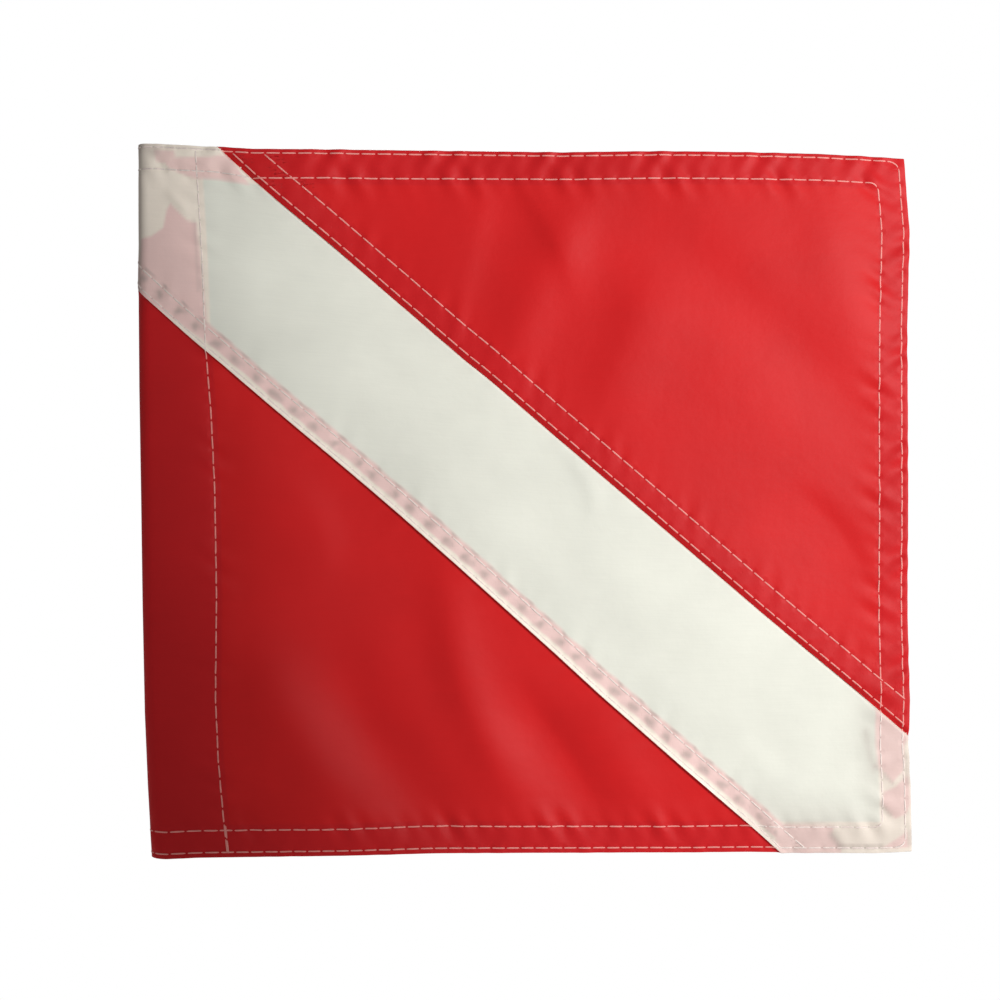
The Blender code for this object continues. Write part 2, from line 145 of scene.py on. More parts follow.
# How far either seam leaves its straight line, down at the upper one and up at the lower: shares of
# the fly, each with an offset in mm
UPPER_BOW = (
    (0.118, 0), (0.157, 1), (0.19, 1.8), (0.25, 2.5), (0.317, 3.8), (0.38, 4.6), (0.414, 4.7),
    (0.446, 4.1), (0.54, 4), (0.67, 3.4), (0.8, 2.6), (0.87, 1.8), (0.93, 1.2), (1, 1),
)
LOWER_BOW = (
    (0, 3.7), (0.04, 4.1), (0.075, 4.35), (0.11, 4.3), (0.17, 3.4), (0.2, 3.2), (0.33, 3.5),
    (0.4, 3.1), (0.46, 2.4), (0.53, 1.7), (0.59, 0.7), (0.66, 0.6), (0.72, 0.5), (0.8, 0.3),
    (0.826, 0),
)
EDGE_BOW_FADE = 150.0 * MM

# Soft folds in mm: the start, middle and end of each, its widths to the left and right of its
# course, and its height towards the front
FOLDS = (
    # Upper red panel: a crease down from the top hem, a broad dip beside it, a long dip to the fly
    (((150, 305), (172, 280), (188, 235)), 12, 6, 1.2),
    (((210, 310), (170, 250), (145, 180)), 12, 12, 1.5),
    (((225, 265), (212, 230), (190, 180)), 18, 12, 1.5),
    (((178, 295), (270, 230), (335, 150)), 14, 18, -1.5),
    (((270, 165), (300, 140), (315, 110)), 6, 24, -1.0),
    (((290, 310), (305, 240), (330, 200)), 14, 14, 1.2),
    # White band: a short crease by the upper seam, a ridge from there to the top, a dip near the fly
    (((168, 185), (190, 165), (190, 140)), 5, 4, 0.5),
    (((130, 215), (140, 270), (155, 310)), 24, 8, 0.9),
    (((250, 80), (280, 40), (325, 70)), 20, 8, -0.7),
    # Pole sleeve: short wrinkles below its upper mouth
    (((8, 298), (12, 294), (15, 291)), 1.6, 1.6, -0.6),
    (((22, 292), (26, 289), (33, 286)), 1.8, 1.8, -0.7),
    (((12, 285), (19, 280), (27, 272)), 2.4, 2.4, 1.0),
    # Lower red panel: ridges and valleys that fan out from the sleeve to the foot
    (((28, 215), (33, 160), (28, 100)), 8, 4, -0.8),
    (((45, 168), (68, 148), (73, 105)), 10, 20, 1.2),
    (((35, 110), (55, 62), (98, -5)), 16, 20, 3.2),
    (((70, 105), (96, 52), (150, -10)), 14, 16, -3.2),
    (((128, 145), (132, 85), (180, -5)), 12, 10, 2.4),
    (((150, 80), (174, 48), (200, 5)), 8, 14, -2.0),
    (((185, 80), (203, 40), (228, 0)), 12, 10, 1.2),
    # Broad dips: along the lower seam, and up beside the sleeve
    (((0, 315), (120, 200), (255, 50)), 40, 18, -1.5),
    (((40, 210), (85, 275), (112, 310)), 12, 40, -1.2),
)
FOLD_END_SHARE = 0.4
MIDDLE_SHARES = (0.15, 0.85)

# The valley or ridge along a seam's front fold in mm: depth, reach over the cloth on top and over
# the other; and how far from the fold the cloth gets lines to carry it
UPPER_DIP = (1.2, 1.3, 0.5)
LOWER_DIP = (-0.9, 1.6, 0.5)
DIP_LINES = (0.0, 0.25, 0.5, 0.8, 1.2, 1.7, 2.3)

# Puckers beside a row: height, reach to either side, lengths of the three ripples, their share and
# start, and lean
PUCKER_HEIGHT = 0.42 * MM
PUCKER_REACH = 6.5 * MM
PUCKER_LENGTHS = (9.7 * MM, 12.3 * MM, 16.9 * MM)
RIPPLE_SHARE = 0.5
RIPPLE_START = 1.7
SEAM_PUCKER_SHARE = 0.35
PUCKER_LEAN = 0.45

# One stitch: shares of its length where the thread's course is set, and its height and thickness there
STITCH_AT = (0.0, 0.07, 0.15, 0.3, 0.5, 0.7, 0.85, 0.93)
STITCH_RISE = (-1.0, -0.4, 0.5, 0.9, 1.0, 0.9, 0.5, -0.4)
STITCH_THICK = (0.5, 0.7, 1.0, 1.0, 1.0, 1.0, 1.0, 0.7)
THREAD_SINK_SHARE = 0.3
THREAD_SIDES = 6
STITCH = 6.3 * MM
BACKTACK_STITCHES = 2
BACKTACK_ASIDE = 0.5 * MM
# Needle holes: radius of the dot of painted shade in each, where it fades out, and the tone at its middle
HOLE_RADIUS = 0.25 * MM
HOLE_EDGE = 2.4 * HOLE_RADIUS
HOLE_SHADE_TONE = 0.84
HOLD_REACH = 4.5 * MM
DENT_REACH = 2.4 * MM
SOFT_EDGE = 1.0 * MM

# A seam's front fold, and a straight piece of a row with its place in the row's stitches
Seam = namedtuple("Seam", "start along over length lap")
Piece = namedtuple("Piece", "start along length first stitch seed")


def mm(values):
    """A table of millimetres as an array in metres."""
    return np.asarray(values, dtype=float) * MM


def smooth(share):
    """0 below a share of 0, 1 above 1, and a soft step between."""
    share = np.clip(share, 0.0, 1.0)
    return share * share * (3 - 2 * share)


def seam_between(start, end, lap):
    """A seam's front fold: its start, its direction, the side of the cloth on top, its length and lap."""
    start, end = np.asarray(start), np.asarray(end)
    length = np.linalg.norm(end - start)
    along = (end - start) / length
    return Seam(start, along, np.array([-along[1], along[0]]), length, lap)


UPPER_SEAM = seam_between((UPPER_SEAM_TOP_U, HOIST), (FLY, UPPER_SEAM_FLY_V), UPPER_SEAM_LAP)
LOWER_SEAM = seam_between((0.0, LOWER_SEAM_HOIST_V), (LOWER_SEAM_FOOT_U, 0.0), LOWER_SEAM_LAP)


def seam_place(seam, u, v):
    """Distance along a seam and past its front fold: the point's offset, measured on the two axes."""
    du, dv = u - seam.start[0], v - seam.start[1]
    return du * seam.along[0] + dv * seam.along[1], -(du * seam.over[0] + dv * seam.over[1])


def seam_point(seam, distance, past):
    """The point at a distance along a seam and past its front fold."""
    return (
        seam.start[0] + distance * seam.along[0] - past * seam.over[0],
        seam.start[1] + distance * seam.along[1] - past * seam.over[1],
    )


def tuck_range(seam):
    """The stretch of a seam that is clear of hems and sleeve, where its edges are tucked in."""
    clear = (TUCK_CLEAR + seam.lap * seam.over[1]) / -seam.along[1]
    clear_side = (max(TUCK_CLEAR, FLAP + TUCK_EASE) + seam.lap * seam.over[0]) / seam.along[0]
    return max(clear, clear_side), seam.length - max(clear, clear_side)


def beyond_edge(seam, is_over, past):
    """Distance past the folded edge of one of a seam's two cloths, the one on top or the other."""
    return past if is_over else -past - seam.lap


def tuck_width(seam, is_over):
    """How far a cloth's cut goes past its folded edge in a seam."""
    return seam.lap + TUCK_CUT - (SEAM_RAW if is_over else SEAM_BITE)


def turn(past, depth, radius):
    """Cloth past 0 turned back: half a circle of the radius, then straight the other way."""
    arc = past + radius
    angle = np.clip(arc / radius, 0.0, math.pi)
    reach = radius - depth
    straight = np.minimum(arc, 0.0) - np.maximum(arc - math.pi * radius, 0.0)
    return straight - radius + reach * np.sin(angle), radius - reach * np.cos(angle)


def under_depth(u, v):
    """Depth of the lower cloth of a seam: one layer in hems and sleeve, three where edges tuck in."""
    clear = np.minimum(np.minimum(v, HOIST - v), np.minimum(FLY - u, u - FLAP + HEM_WIDTH))
    return LAYER * (1 + 2 * smooth((clear - HEM_WIDTH) / TUCK_EASE))


def upper_red_depth(u, v):
    """The upper red panel is on top throughout."""
    return np.zeros_like(u)


def white_depth(u, v):
    """The band dips from the top, at its lower seam, to beneath the upper red panel."""
    beyond_lower = np.maximum(-seam_place(LOWER_SEAM, u, v)[1] - LOWER_SEAM.lap, 0.0)
    before_upper = np.maximum(seam_place(UPPER_SEAM, u, v)[1], 0.0)
    span = np.maximum(beyond_lower + before_upper, CLOTH)
    return under_depth(u, v) * beyond_lower / span


def front_depth(u, v):
    """Depth of the cloth that shows from the front."""
    on_upper = seam_place(UPPER_SEAM, u, v)[1] <= 0
    on_white = seam_place(LOWER_SEAM, u, v)[1] <= 0
    return np.where(on_upper, 0.0, np.where(on_white, white_depth(u, v), under_depth(u, v)))


def fold_hems(u, v, depth):
    """Turn what lies past the top, the foot and the fly edge to the back."""
    past, depth = turn(v - HOIST, depth, HEM_RADIUS)
    v = HOIST + past
    past, depth = turn(-v, depth, HEM_RADIUS)
    v = -past
    past, depth = turn(u - FLY, depth, HEM_RADIUS)
    return FLY + past, v, depth


def flap_depth(v):
    """Depth of the sleeve's flap at its row: it rides over the hems' layers near both mouths."""
    over_cloth = 3 * LAYER
    over_hems = 4 * HEM_RADIUS + LAYER
    from_mouth = np.minimum(v, HOIST - v) - HEM_WIDTH
    return over_hems + (over_cloth - over_hems) * smooth(from_mouth / FLAP_RISE)


def wave(u, v):
    """Soft waves: three slanting sines that die out towards the pole."""
    depth = np.zeros_like(u)
    for size, (along_fly, up_hoist, start) in zip(WAVE_DEPTHS, WAVE_SHARES):
        depth += size * np.sin(2 * math.pi * (along_fly * u / FLY + up_hoist * v / HOIST + start))
    return depth * smooth((u - FLAP) / WAVE_FADE)


def line_distance(u, v, points):
    """Distance from a line of straight pieces: the least of the distances from its pieces.

    It is positive on the left of the line's course and negative on its right.
    """
    least = np.full_like(u, FAR_OFF)
    for (u0, v0), (u1, v1) in zip(points, points[1:]):
        du, dv = u1 - u0, v1 - v0
        share = np.clip(((u - u0) * du + (v - v0) * dv) / (du * du + dv * dv), 0.0, 1.0)
        distance = np.hypot(u - u0 - share * du, v - v0 - share * dv)
        side = np.where(du * (v - v0) - dv * (u - u0) >= 0, 1.0, -1.0)
        least = np.where(distance < np.abs(least), side * distance, least)
    return least


def beside_fold(u, v, points):
    """Share along a fold's chord, and distance to the left of the curve through its middle point."""
    start, middle, end = mm(points)
    length = np.linalg.norm(end - start)
    along = (end - start) / length
    du, dv = u - start[0], v - start[1]
    share, aside = (du * along[0] + dv * along[1]) / length, dv * along[0] - du * along[1]
    middle_u, middle_v = middle - start
    middle_share = np.clip((middle_u * along[0] + middle_v * along[1]) / length, *MIDDLE_SHARES)
    bend = (middle_v * along[0] - middle_u * along[1]) / (middle_share * (1 - middle_share))
    return share, aside - bend * share * (1 - share)


def folds(u, v):
    """Soft folds: each is a bell across its curve that fades out towards both ends.

    The bell has its own width on either side.
    """
    depth = np.zeros_like(u)
    for points, left, right, height in FOLDS:
        share, aside = beside_fold(u, v, points)
        bell = np.exp(-((aside / (np.where(aside > 0, left, right) * MM)) ** 2))
        ends = smooth(share / FOLD_END_SHARE) * smooth((1 - share) / FOLD_END_SHARE)
        depth -= height * MM * bell * ends
    return depth


def seam_dips(u, v):
    """A valley or ridge along each seam's front fold: a bell with its own width on either side."""
    depth = np.zeros_like(u)
    for seam, shape in ((UPPER_SEAM, UPPER_DIP), (LOWER_SEAM, LOWER_DIP)):
        height, reach_in, reach_out = mm(shape)
        past = seam_place(seam, u, v)[1]
        depth += height * np.exp(-((past / np.where(past > 0, reach_out, reach_in)) ** 2))
    return depth


def ripple(distance, seed):
    """A sum of three sines of different lengths, which never repeats along a row."""
    total = 0.0
    for i, length in enumerate(PUCKER_LENGTHS):
        total = total + np.sin(2 * math.pi * distance / length + seed * (RIPPLE_START + i))
    return total * RIPPLE_SHARE


def lengths_along(corners):
    """How far along its row each corner lies."""
    return np.concatenate([[0.0], np.cumsum(np.hypot(*np.diff(corners, axis=0).T))])


def row_pieces(rows):
    """The long straight pieces of all rows, with how far along its row each begins."""
    pieces = []
    for seed, corners in enumerate(rows):
        lengths = lengths_along(corners)
        stitch = lengths[-1] / round(lengths[-1] / STITCH)
        for i, (start, end) in enumerate(zip(corners, corners[1:])):
            length = lengths[i + 1] - lengths[i]
            if length > ROW_CORNER:
                along = (end - start) / length
                pieces.append(Piece(start, along, length, lengths[i], stitch, seed + i))
    return pieces


def piece_place(piece, u, v):
    """Distance along a piece of a row, distance to its left, and distance past its nearer end."""
    du, dv = u - piece.start[0], v - piece.start[1]
    along = du * piece.along[0] + dv * piece.along[1]
    across = dv * piece.along[0] - du * piece.along[1]
    return along, across, np.maximum(np.maximum(-along, along - piece.length), 0.0)


def puckers(u, v):
    """Puckers: ripples along each row that fade to either side of it and lean a little."""
    depth = np.zeros_like(u)
    for piece in ROW_PIECES:
        along, across, past = piece_place(piece, u, v)
        lean = PUCKER_LEAN * (1 if piece.seed % 2 else -1) * across
        fade = np.exp(-((np.hypot(across, past) / PUCKER_REACH) ** 2))
        slanted = piece.along[0] != 0 and piece.along[1] != 0
        share = SEAM_PUCKER_SHARE if slanted else 1.0
        depth += share * PUCKER_HEIGHT * ripple(along + lean, piece.seed) * fade
    return depth


def nearest_stitch(u, v, pieces):
    """Place on the nearest row: the number of stitches along it, the distance across it, its hold.

    The hold is 0 where two rows are equally near, 1 where the next row is well beyond, and 0 far off.
    """
    count = np.zeros_like(u)
    least, second, aside = np.full((3, *u.shape), FAR_OFF)
    for piece in pieces:
        along, across, past = piece_place(piece, u, v)
        distance = np.hypot(across, past)
        nearer = distance < least
        second = np.where(nearer, least, np.minimum(second, distance))
        least = np.where(nearer, distance, least)
        count = np.where(nearer, (piece.first + along) / piece.stitch, count)
        aside = np.where(nearer, np.where(past > 0, distance, across), aside)
    near = smooth((DENT_REACH + SOFT_EDGE - least) / SOFT_EDGE)
    return count, aside, near * smooth((second - least) / HOLD_REACH)


def bow(table, share):
    """A small offset read off a table along an edge, straight between its entries."""
    at, offsets = np.transpose(table)
    return np.interp(share, at, mm(offsets))


def bow_seams(x, v):
    """How far the cloth is drawn up or down so that both seams take their bowed course.

    At each place along the fly, the shift runs in straight lines from the foot through the lower
    and the upper seam to the top.
    """
    low = np.maximum(LOWER_SEAM.start[1] + x * LOWER_SEAM.along[1] / LOWER_SEAM.along[0], 0.0)
    slope = UPPER_SEAM.along[1] / UPPER_SEAM.along[0]
    high = np.minimum(HOIST + (x - UPPER_SEAM.start[0]) * slope, HOIST)
    above_low, below_high = (v - low) / (high - low), (high - v) / (high - low)
    near_low = np.clip(np.minimum(v / np.maximum(low, MM), below_high), 0.0, 1.0)
    near_high = np.clip(np.minimum((HOIST - v) / np.maximum(HOIST - high, MM), above_low), 0.0, 1.0)
    up = bow(LOWER_BOW, x / FLY)
    down = bow(UPPER_BOW, x / FLY)
    return up * near_low - down * near_high


def bow_cloth(x, v):
    """Bend the straight edges and the sleeve's row in the plane of the flag.

    An edge's offset fades inwards with a soft step, and the row's to both sides.
    """
    up, out = v / HOIST, x / FLY
    by_hoist = bow(HOIST_BOW, up)
    by_row = bow(ROW_BOW, up)
    by_fly = bow(FLY_BOW, up)
    to_row = smooth(x / SLEEVE_ROW)
    past_row = smooth((x - SLEEVE_ROW) / ROW_BOW_FADE)
    near_fly = smooth(1 - (FLY - x) / EDGE_BOW_FADE)
    shift = by_hoist * (1 - to_row) + by_row * to_row * (1 - past_row) + by_fly * near_fly
    near_top = smooth(1 - (HOIST - v) / EDGE_BOW_FADE)
    near_foot = smooth(1 - v / EDGE_BOW_FADE)
    rise = bow(TOP_BOW, out) * near_top + bow(FOOT_BOW, out) * near_foot
    return x + shift, v + rise + bow_seams(x, v)


def hang(u, v, depth):
    """Close the sleeve round the pole's place, wave the cloth and put the flag in its frame.

    The hoist fold is half a circle; behind it the flap comes down to its row in a soft arch.
    """
    arc = SLEEVE_RADIUS - u
    angle = np.clip(arc / SLEEVE_RADIUS, 0.0, math.pi)
    reach = SLEEVE_RADIUS - depth
    on_flap = arc >= math.pi * SLEEVE_RADIUS
    x = np.where(arc <= 0, u, SLEEVE_RADIUS - reach * np.sin(angle))
    y = np.where(arc <= 0, depth, SLEEVE_RADIUS - reach * np.cos(angle))
    flap_x = SLEEVE_RADIUS + arc - math.pi * SLEEVE_RADIUS
    share = np.clip((flap_x - SLEEVE_RADIUS) / (SLEEVE_ROW - SLEEVE_RADIUS), 0.0, 1.0)
    at_row = flap_depth(v)
    flap_y = at_row + (2 * SLEEVE_RADIUS - at_row) * (1 - share * share) ** FLAP_ARCH_POWER - depth
    x, y = np.where(on_flap, flap_x, x), np.where(on_flap, flap_y, y)
    relief = wave(x, v) + folds(x, v) + puckers(x, v) + seam_dips(x, v)
    x_bowed, v_bowed = bow_cloth(x, v)
    z = v_bowed - FLY_SAG * x / FLY
    return np.stack([x_bowed - SLEEVE_AXIS_U, y + relief - SLEEVE_RADIUS, z], axis=-1)


def lay(u, v, depth_of, seams):
    """Points of a panel's cut cloth in the flat flag, with its seam edges tucked in."""
    new_u, new_v, depth = u.copy(), v.copy(), depth_of(u, v)
    for seam, is_over in seams:
        distance, past = seam_place(seam, u, v)
        first, last = tuck_range(seam)
        beyond = beyond_edge(seam, is_over, past)
        tucked = (distance > first - CLOTH) & (distance < last + CLOTH) & (beyond > -LAYER)
        turned, rise = turn(beyond, np.zeros_like(u), LAYER)
        back_u, back_v = seam_point(seam, distance, turned if is_over else -seam.lap - turned)
        new_u = np.where(tucked, back_u, new_u)
        new_v = np.where(tucked, back_v, new_v)
        depth = np.where(tucked, rise if is_over else 3 * LAYER - rise, depth)
    return new_u, new_v, depth


def steps(first, last, count):
    """Even steps from first to last, both ends included."""
    return np.linspace(first, last, count + 1)


def fold_lines(edge, sign, radius, count):
    """Lines round a fold at an edge: sign is +1 where the cloth past it has the higher number."""
    return edge + sign * steps(-radius, (math.pi - 1) * radius, count)


def cloth_lines(marks, side):
    """Fill the wide gaps between marked lines with even ones."""
    marks = np.unique(np.round(marks, LINE_DECIMALS))
    lines = [
        np.linspace(low, high, max(1, math.ceil((high - low) / side)), endpoint=False)
        for low, high in zip(marks, marks[1:])
    ]
    return np.concatenate(lines + [marks[-1:]])


def flat_grid(side):
    """The uncut cloth: the product of two sets of lines, closer together round the folds."""
    u_marks = np.concatenate([
        fold_lines(0.0, -1, SLEEVE_RADIUS, SLEEVE_STEPS),
        fold_lines(FLY, 1, HEM_RADIUS, FOLD_STEPS),
        [-FLAP_CUT, -FLAP_ROW, SLEEVE_ROW, FLAP, FLY - HEM_WIDTH, FLY + HEM_CUT],
    ])
    v_marks = np.concatenate([
        fold_lines(0.0, -1, HEM_RADIUS, FOLD_STEPS),
        fold_lines(HOIST, 1, HEM_RADIUS, FOLD_STEPS),
        [-HEM_CUT, HEM_WIDTH, HOIST - HEM_WIDTH, HOIST + HEM_CUT],
    ])
    u, v = np.meshgrid(cloth_lines(u_marks, side), cloth_lines(v_marks, side), indexing="ij")
    number = np.arange(u.size).reshape(u.shape)
    quads = np.stack([number[:-1, :-1], number[1:, :-1], number[1:, 1:], number[:-1, 1:]], axis=-1)
    return u.ravel(), v.ravel(), quads.reshape(-1, 4)


def panel_waste(u, v, seams, spare):
    """Whether cloth lies outside a panel's cut, or past its mitred corners."""
    waste = np.zeros(u.shape, dtype=bool)
    for seam, is_over in seams:
        distance, past = seam_place(seam, u, v)
        first, last = tuck_range(seam)
        allowed = np.where((distance > first) & (distance < last), tuck_width(seam, is_over), 0.0)
        waste |= beyond_edge(seam, is_over, past) > allowed + spare
    for up in (v - HOIST, -v):
        waste |= ((up > 0) | (u > FLY)) & ((u - FLY) + up > spare - MITRE_AIR)
    return waste


def panel_cuts(seams):
    """The lines along which a panel's cloth is cut or folded, each a point and a direction across."""
    cuts = []
    for seam, is_over in seams:
        sign = 1 if is_over else -1
        edge = 0.0 if is_over else -seam.lap
        round_fold = steps(-LAYER, (math.pi - 1) * LAYER, FOLD_STEPS)
        for past in (0.0, tuck_width(seam, is_over), *round_fold):
            cuts.append((seam_point(seam, 0.0, edge + sign * past), seam.over))
        for line in mm(DIP_LINES):
            for past in (-line, line + TUCK_CUT if is_over else line):
                cuts.append((seam_point(seam, 0.0, past), seam.over))
        for distance in tuck_range(seam):
            cuts.append((seam_point(seam, distance, 0.0), seam.along))
    for foot, sign in ((HOIST, 1), (0.0, -1)):
        cuts.append(((FLY - MITRE_AIR, foot), (1.0, sign)))
    return cuts


def read_values(items, name, size):
    """One array of what each vertex or face of a mesh holds under a name."""
    values = np.empty(size * len(items))
    items.foreach_get(name, values)
    return values


def cut_panel(name, side, seams):
    """The flat cloth of one panel: the grid, cut along its lines, without what lies outside them."""
    u, v, quads = flat_grid(side)
    middle_u, middle_v = u[quads].mean(axis=1), v[quads].mean(axis=1)
    quads = quads[~panel_waste(middle_u, middle_v, seams, 2 * side)]
    used, quads = np.unique(quads, return_inverse=True)
    data = bpy.data.meshes.new(name)
    flat = np.stack([u[used], v[used], np.zeros(used.size)], axis=-1)
    data.from_pydata(flat.tolist(), [], quads.reshape(-1, 4).tolist())
    mesh = bmesh.new()
    mesh.from_mesh(data)
    for point, across in panel_cuts(seams):
        everything = mesh.verts[:] + mesh.edges[:] + mesh.faces[:]
        plane = {"plane_co": (*point, 0.0), "plane_no": (*across, 0.0)}
        bmesh.ops.bisect_plane(mesh, geom=everything, dist=WELD, **plane)
    mesh.to_mesh(data)
    middles = read_values(data.polygons, "center", 3)
    waste = np.nonzero(panel_waste(middles[0::3], middles[1::3], seams, 0.0))[0]
    mesh.faces.ensure_lookup_table()
    bmesh.ops.delete(mesh, geom=[mesh.faces[i] for i in waste], context="FACES")
    bmesh.ops.remove_doubles(mesh, verts=mesh.verts[:], dist=WELD)
    mesh.to_mesh(data)
    mesh.free()
    return data


def inside_share(u, v, corners, ease):
    """1 inside a shape of straight sides, 0 outside, and a soft step of the ease across its sides.

    Whether a point is inside is the count of sides that a line to the right of it crosses.
    """
    corners = mm(corners)
    closed = np.vstack([corners, corners[:1]])
    inside = np.zeros(u.shape, dtype=bool)
    for (u0, v0), (u1, v1) in zip(closed, closed[1:]):
        crossing = (v0 > v) != (v1 > v)
        at = u0 + (v - v0) * (u1 - u0) / (v1 - v0 if v1 != v0 else 1.0)
        inside ^= crossing & (u < at)
    distance = np.abs(line_distance(u, v, closed))
    return smooth(0.5 + np.where(inside, distance, -distance) / ease)


# Red cloth that lies behind the white and shows through it, in mm, and how strongly
BEHIND_EASE = 1.6 * MM
BEHIND = (
    (((-1, 238), (1, 262), (6, 263), (12, 267), (14, 275), (16, 278), (24, 271), (28, 270), (31, 216)), 1.0),
    (((8, 302), (19, 302), (20, 298), (13, 296), (9, 297)), 0.8),
    (((20, 299), (36, 300), (43, 302), (51, 290), (28, 290), (16, 294), (13, 297)), 0.9),
    (((315, 64), (330, 51), (328, 47), (327, 36), (322, 31), (316, 39)), 1.0),
    (((318, 27), (323, 29), (329, 34), (330, 22), (328, 17), (323, 15), (321, 17), (317, 22)), 1.0),
    (((317, 2), (328, 9), (329, 2)), 1.0),
    (((269, 13), (296, 12), (295, 8), (299, 3), (299, 0), (272, 0)), 1.0),
)

# Painted shade on the white, in grey lines and bands: shadows at hidden layers' edges, and the shade of
# folds and hems: points in mm, width, strength
PAINTED_SHADE_LINES = (
    (((311, 54), (314, 37)), 1.6, 0.25),
    (((315, 39), (322, 31)), 1.0, 0.5),
    (((317, 22), (321, 17)), 1.0, 0.4),
    (((298, 3), (317, 3)), 1.0, 0.6),
    (((295, 8), (299, 3)), 1.6, 0.6),
    (((276, 13.5), (291, 13.5)), 1.0, 0.3),
    (((329, 42), (329, 31)), 1.2, 0.35),
    (((329.5, 9), (329.5, 4)), 1.5, 0.4),
    # Painted shade of the rounded hoist fold and of the sleeve's upper corner
    (((0, 306), (0, 236)), 1.8, 0.6),
    (((0, 304), (9, 301)), 3.0, 0.45),
    (((27, 271), (28, 240)), 1.0, 0.25),
    # A broad band of painted shade down the fly hem and along the foot hem
    (((323, 60), (323, 7), (262, 7)), 14.0, 0.35),
)

# Painted shade where the lower seam puckers, in blotches: length of one, noise shift in radians, power of
# the sine, place in from the fold, reach, strength
BLOTCH_LENGTH = 10.5 * MM
BLOTCH_JITTER = 5.0
BLOTCH_POWER = 1.6
BLOTCH_INWARD = 5.6 * MM
BLOTCH_REACH = 3.8 * MM
BLOTCH_SHARE = 0.6
# The painted shadow along the hidden fold's edge: its reach and strength; then how far noise moves the
# band's edges, and that noise
BACK_FOLD_REACH = 1.3 * MM
BACK_FOLD_SHARE = 0.45
WANDER = 1.8 * MM
WANDER_NOISE = {"Scale": 140.0, "Detail": 1.0}

# The finishes: noise for dye, thick yarns, crinkles and thread, the tones from its dark to its light
# places, and roughness with specular level
NOISE_ENDS = (0.3, 0.7)
DYE_NOISE = {"Scale": 22.0, "Detail": 3.0}
DYE_TONES = (0.95, 1.05)
SLUB_STRETCH = (60.0, 1600.0, 1.0)
SLUB_NOISE = {"Scale": 1.0, "Detail": 1.0}
SLUB_TONES = (0.99, 1.01)
CRINKLE_NOISE = {"Scale": 70.0, "Detail": 4.0, "Roughness": 0.6}
NYLON_GLOSS = (0.5, 0.16)
THREAD_NOISE = {"Scale": 400.0, "Detail": 2.0}
THREAD_TONES = (0.88, 1.06)
THREAD_GLOSS = (0.6, 0.3)
PLY_SLANT = 0.6
PLY_HEIGHT = 0.03 * MM


def shown_behind(u, v):
    """How much the red cloth behind the white shows: the strongest of the shapes."""
    share = np.zeros(u.shape)
    for corners, strength in BEHIND:
        share = np.maximum(share, strength * inside_share(u, v, corners, BEHIND_EASE))
    return share


def shadow_behind(u, v):
    """Painted shade on the white: bells across the lines of hidden layers' edges, of folds and of hems."""
    share = np.zeros(u.shape)
    for points, width, strength in PAINTED_SHADE_LINES:
        distance = line_distance(u, v, mm(points)) / (width * MM)
        share += (1 - share) * strength * np.exp(-(distance ** 2))
    return share


def share_of_layers(u, v):
    """1 where the cloth is doubled, in the hems, the seams and the sleeve, with a soft edge."""
    share = np.zeros(u.shape)
    for inward, width in ((HOIST - v, HEM_WIDTH), (v, HEM_WIDTH), (FLY - u, HEM_WIDTH), (u, FLAP)):
        share = np.maximum(share, smooth((width - inward) / SOFT_EDGE))
    for seam in (UPPER_SEAM, LOWER_SEAM):
        past = -seam_place(seam, u, v)[1]
        share = np.maximum(share, (past > 0) * smooth((seam.lap - past) / SOFT_EDGE))
    return share


def new_object(name, data):
    """An object in the scene, at the origin."""
    item = bpy.data.objects.new(name, data)
    bpy.context.scene.collection.objects.link(item)
    return item


def set_values(data, name, values):
    """Store one number for each point of a mesh."""
    layer = data.attributes.new(name, "FLOAT", "POINT")
    layer.data.foreach_set("value", np.ascontiguousarray(values, dtype=np.float32))


def set_uv(data, name, u, v):
    """Store a place on the cloth, in metres, for each corner of each face."""
    corners = np.empty(len(data.loops), dtype=np.int64)
    data.loops.foreach_get("vertex_index", corners)
    layer = data.uv_layers.new(name=name)
    layer.data.foreach_set("uv", np.stack([u[corners], v[corners]], axis=-1).ravel())


def make_panel(name, finish, depth_of, seams):
    """One panel: cut flat, folded at its seams, hems and sleeve, and given its thickness.

    seams holds each seam of the panel, with whether this panel is the cloth on top there.
    """
    settings = bpy.context.scene.flag_cloth
    data = cut_panel(name, settings.grid * (1), seams)
    points = read_values(data.vertices, "co", 3)
    cut_u, cut_v = points[0::3].copy(), points[1::3].copy()
    areas = read_values(data.polygons, "area", 1)
    u, v, depth = fold_hems(*lay(cut_u, cut_v, depth_of, seams))
    data.vertices.foreach_set("co", hang(u, v, depth).ravel())
    set_uv(data, "cloth", cut_u, cut_v)
    count, aside, hold = nearest_stitch(u, v, HOLE_PIECES)
    for key, values in {
        "behind": shown_behind(u, v),
        "shadow": shadow_behind(u, v),
        "layers": share_of_layers(u, v),
        "stitch_count": count,
        "stitch_aside": aside,
        "stitch_hold": hold,
    }.items():
        set_values(data, key, values)
    data.shade_smooth()
    data.materials.append(finish)
    panel = new_object(f"{name}_cloth", data)
    solidify = panel.modifiers.new("Cloth", "SOLIDIFY")
    solidify.thickness = CLOTH
    solidify.offset = 0.0
    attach(panel, BODY)
    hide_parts(name)
    return panel


def stitched(corners):
    """The points that a thread follows along a row: u, v, rise, thickness and distance of each.

    The row is split into whole stitches, and each stitch repeats the same shares and rises.
    """
    lengths = lengths_along(corners)
    count = round(lengths[-1] / STITCH)
    stitches = (np.arange(count)[:, None] + np.asarray(STITCH_AT)[None, :]).ravel()
    distance = np.append(stitches / count * lengths[-1], lengths[-1])
    rise = np.append(np.tile(STITCH_RISE, count), STITCH_RISE[0])
    thick = np.append(np.tile(STITCH_THICK, count), STITCH_THICK[0])
    u = np.interp(distance, lengths, corners[:, 0])
    v = np.interp(distance, lengths, corners[:, 1])
    return np.stack([u, v, rise, thick, distance])


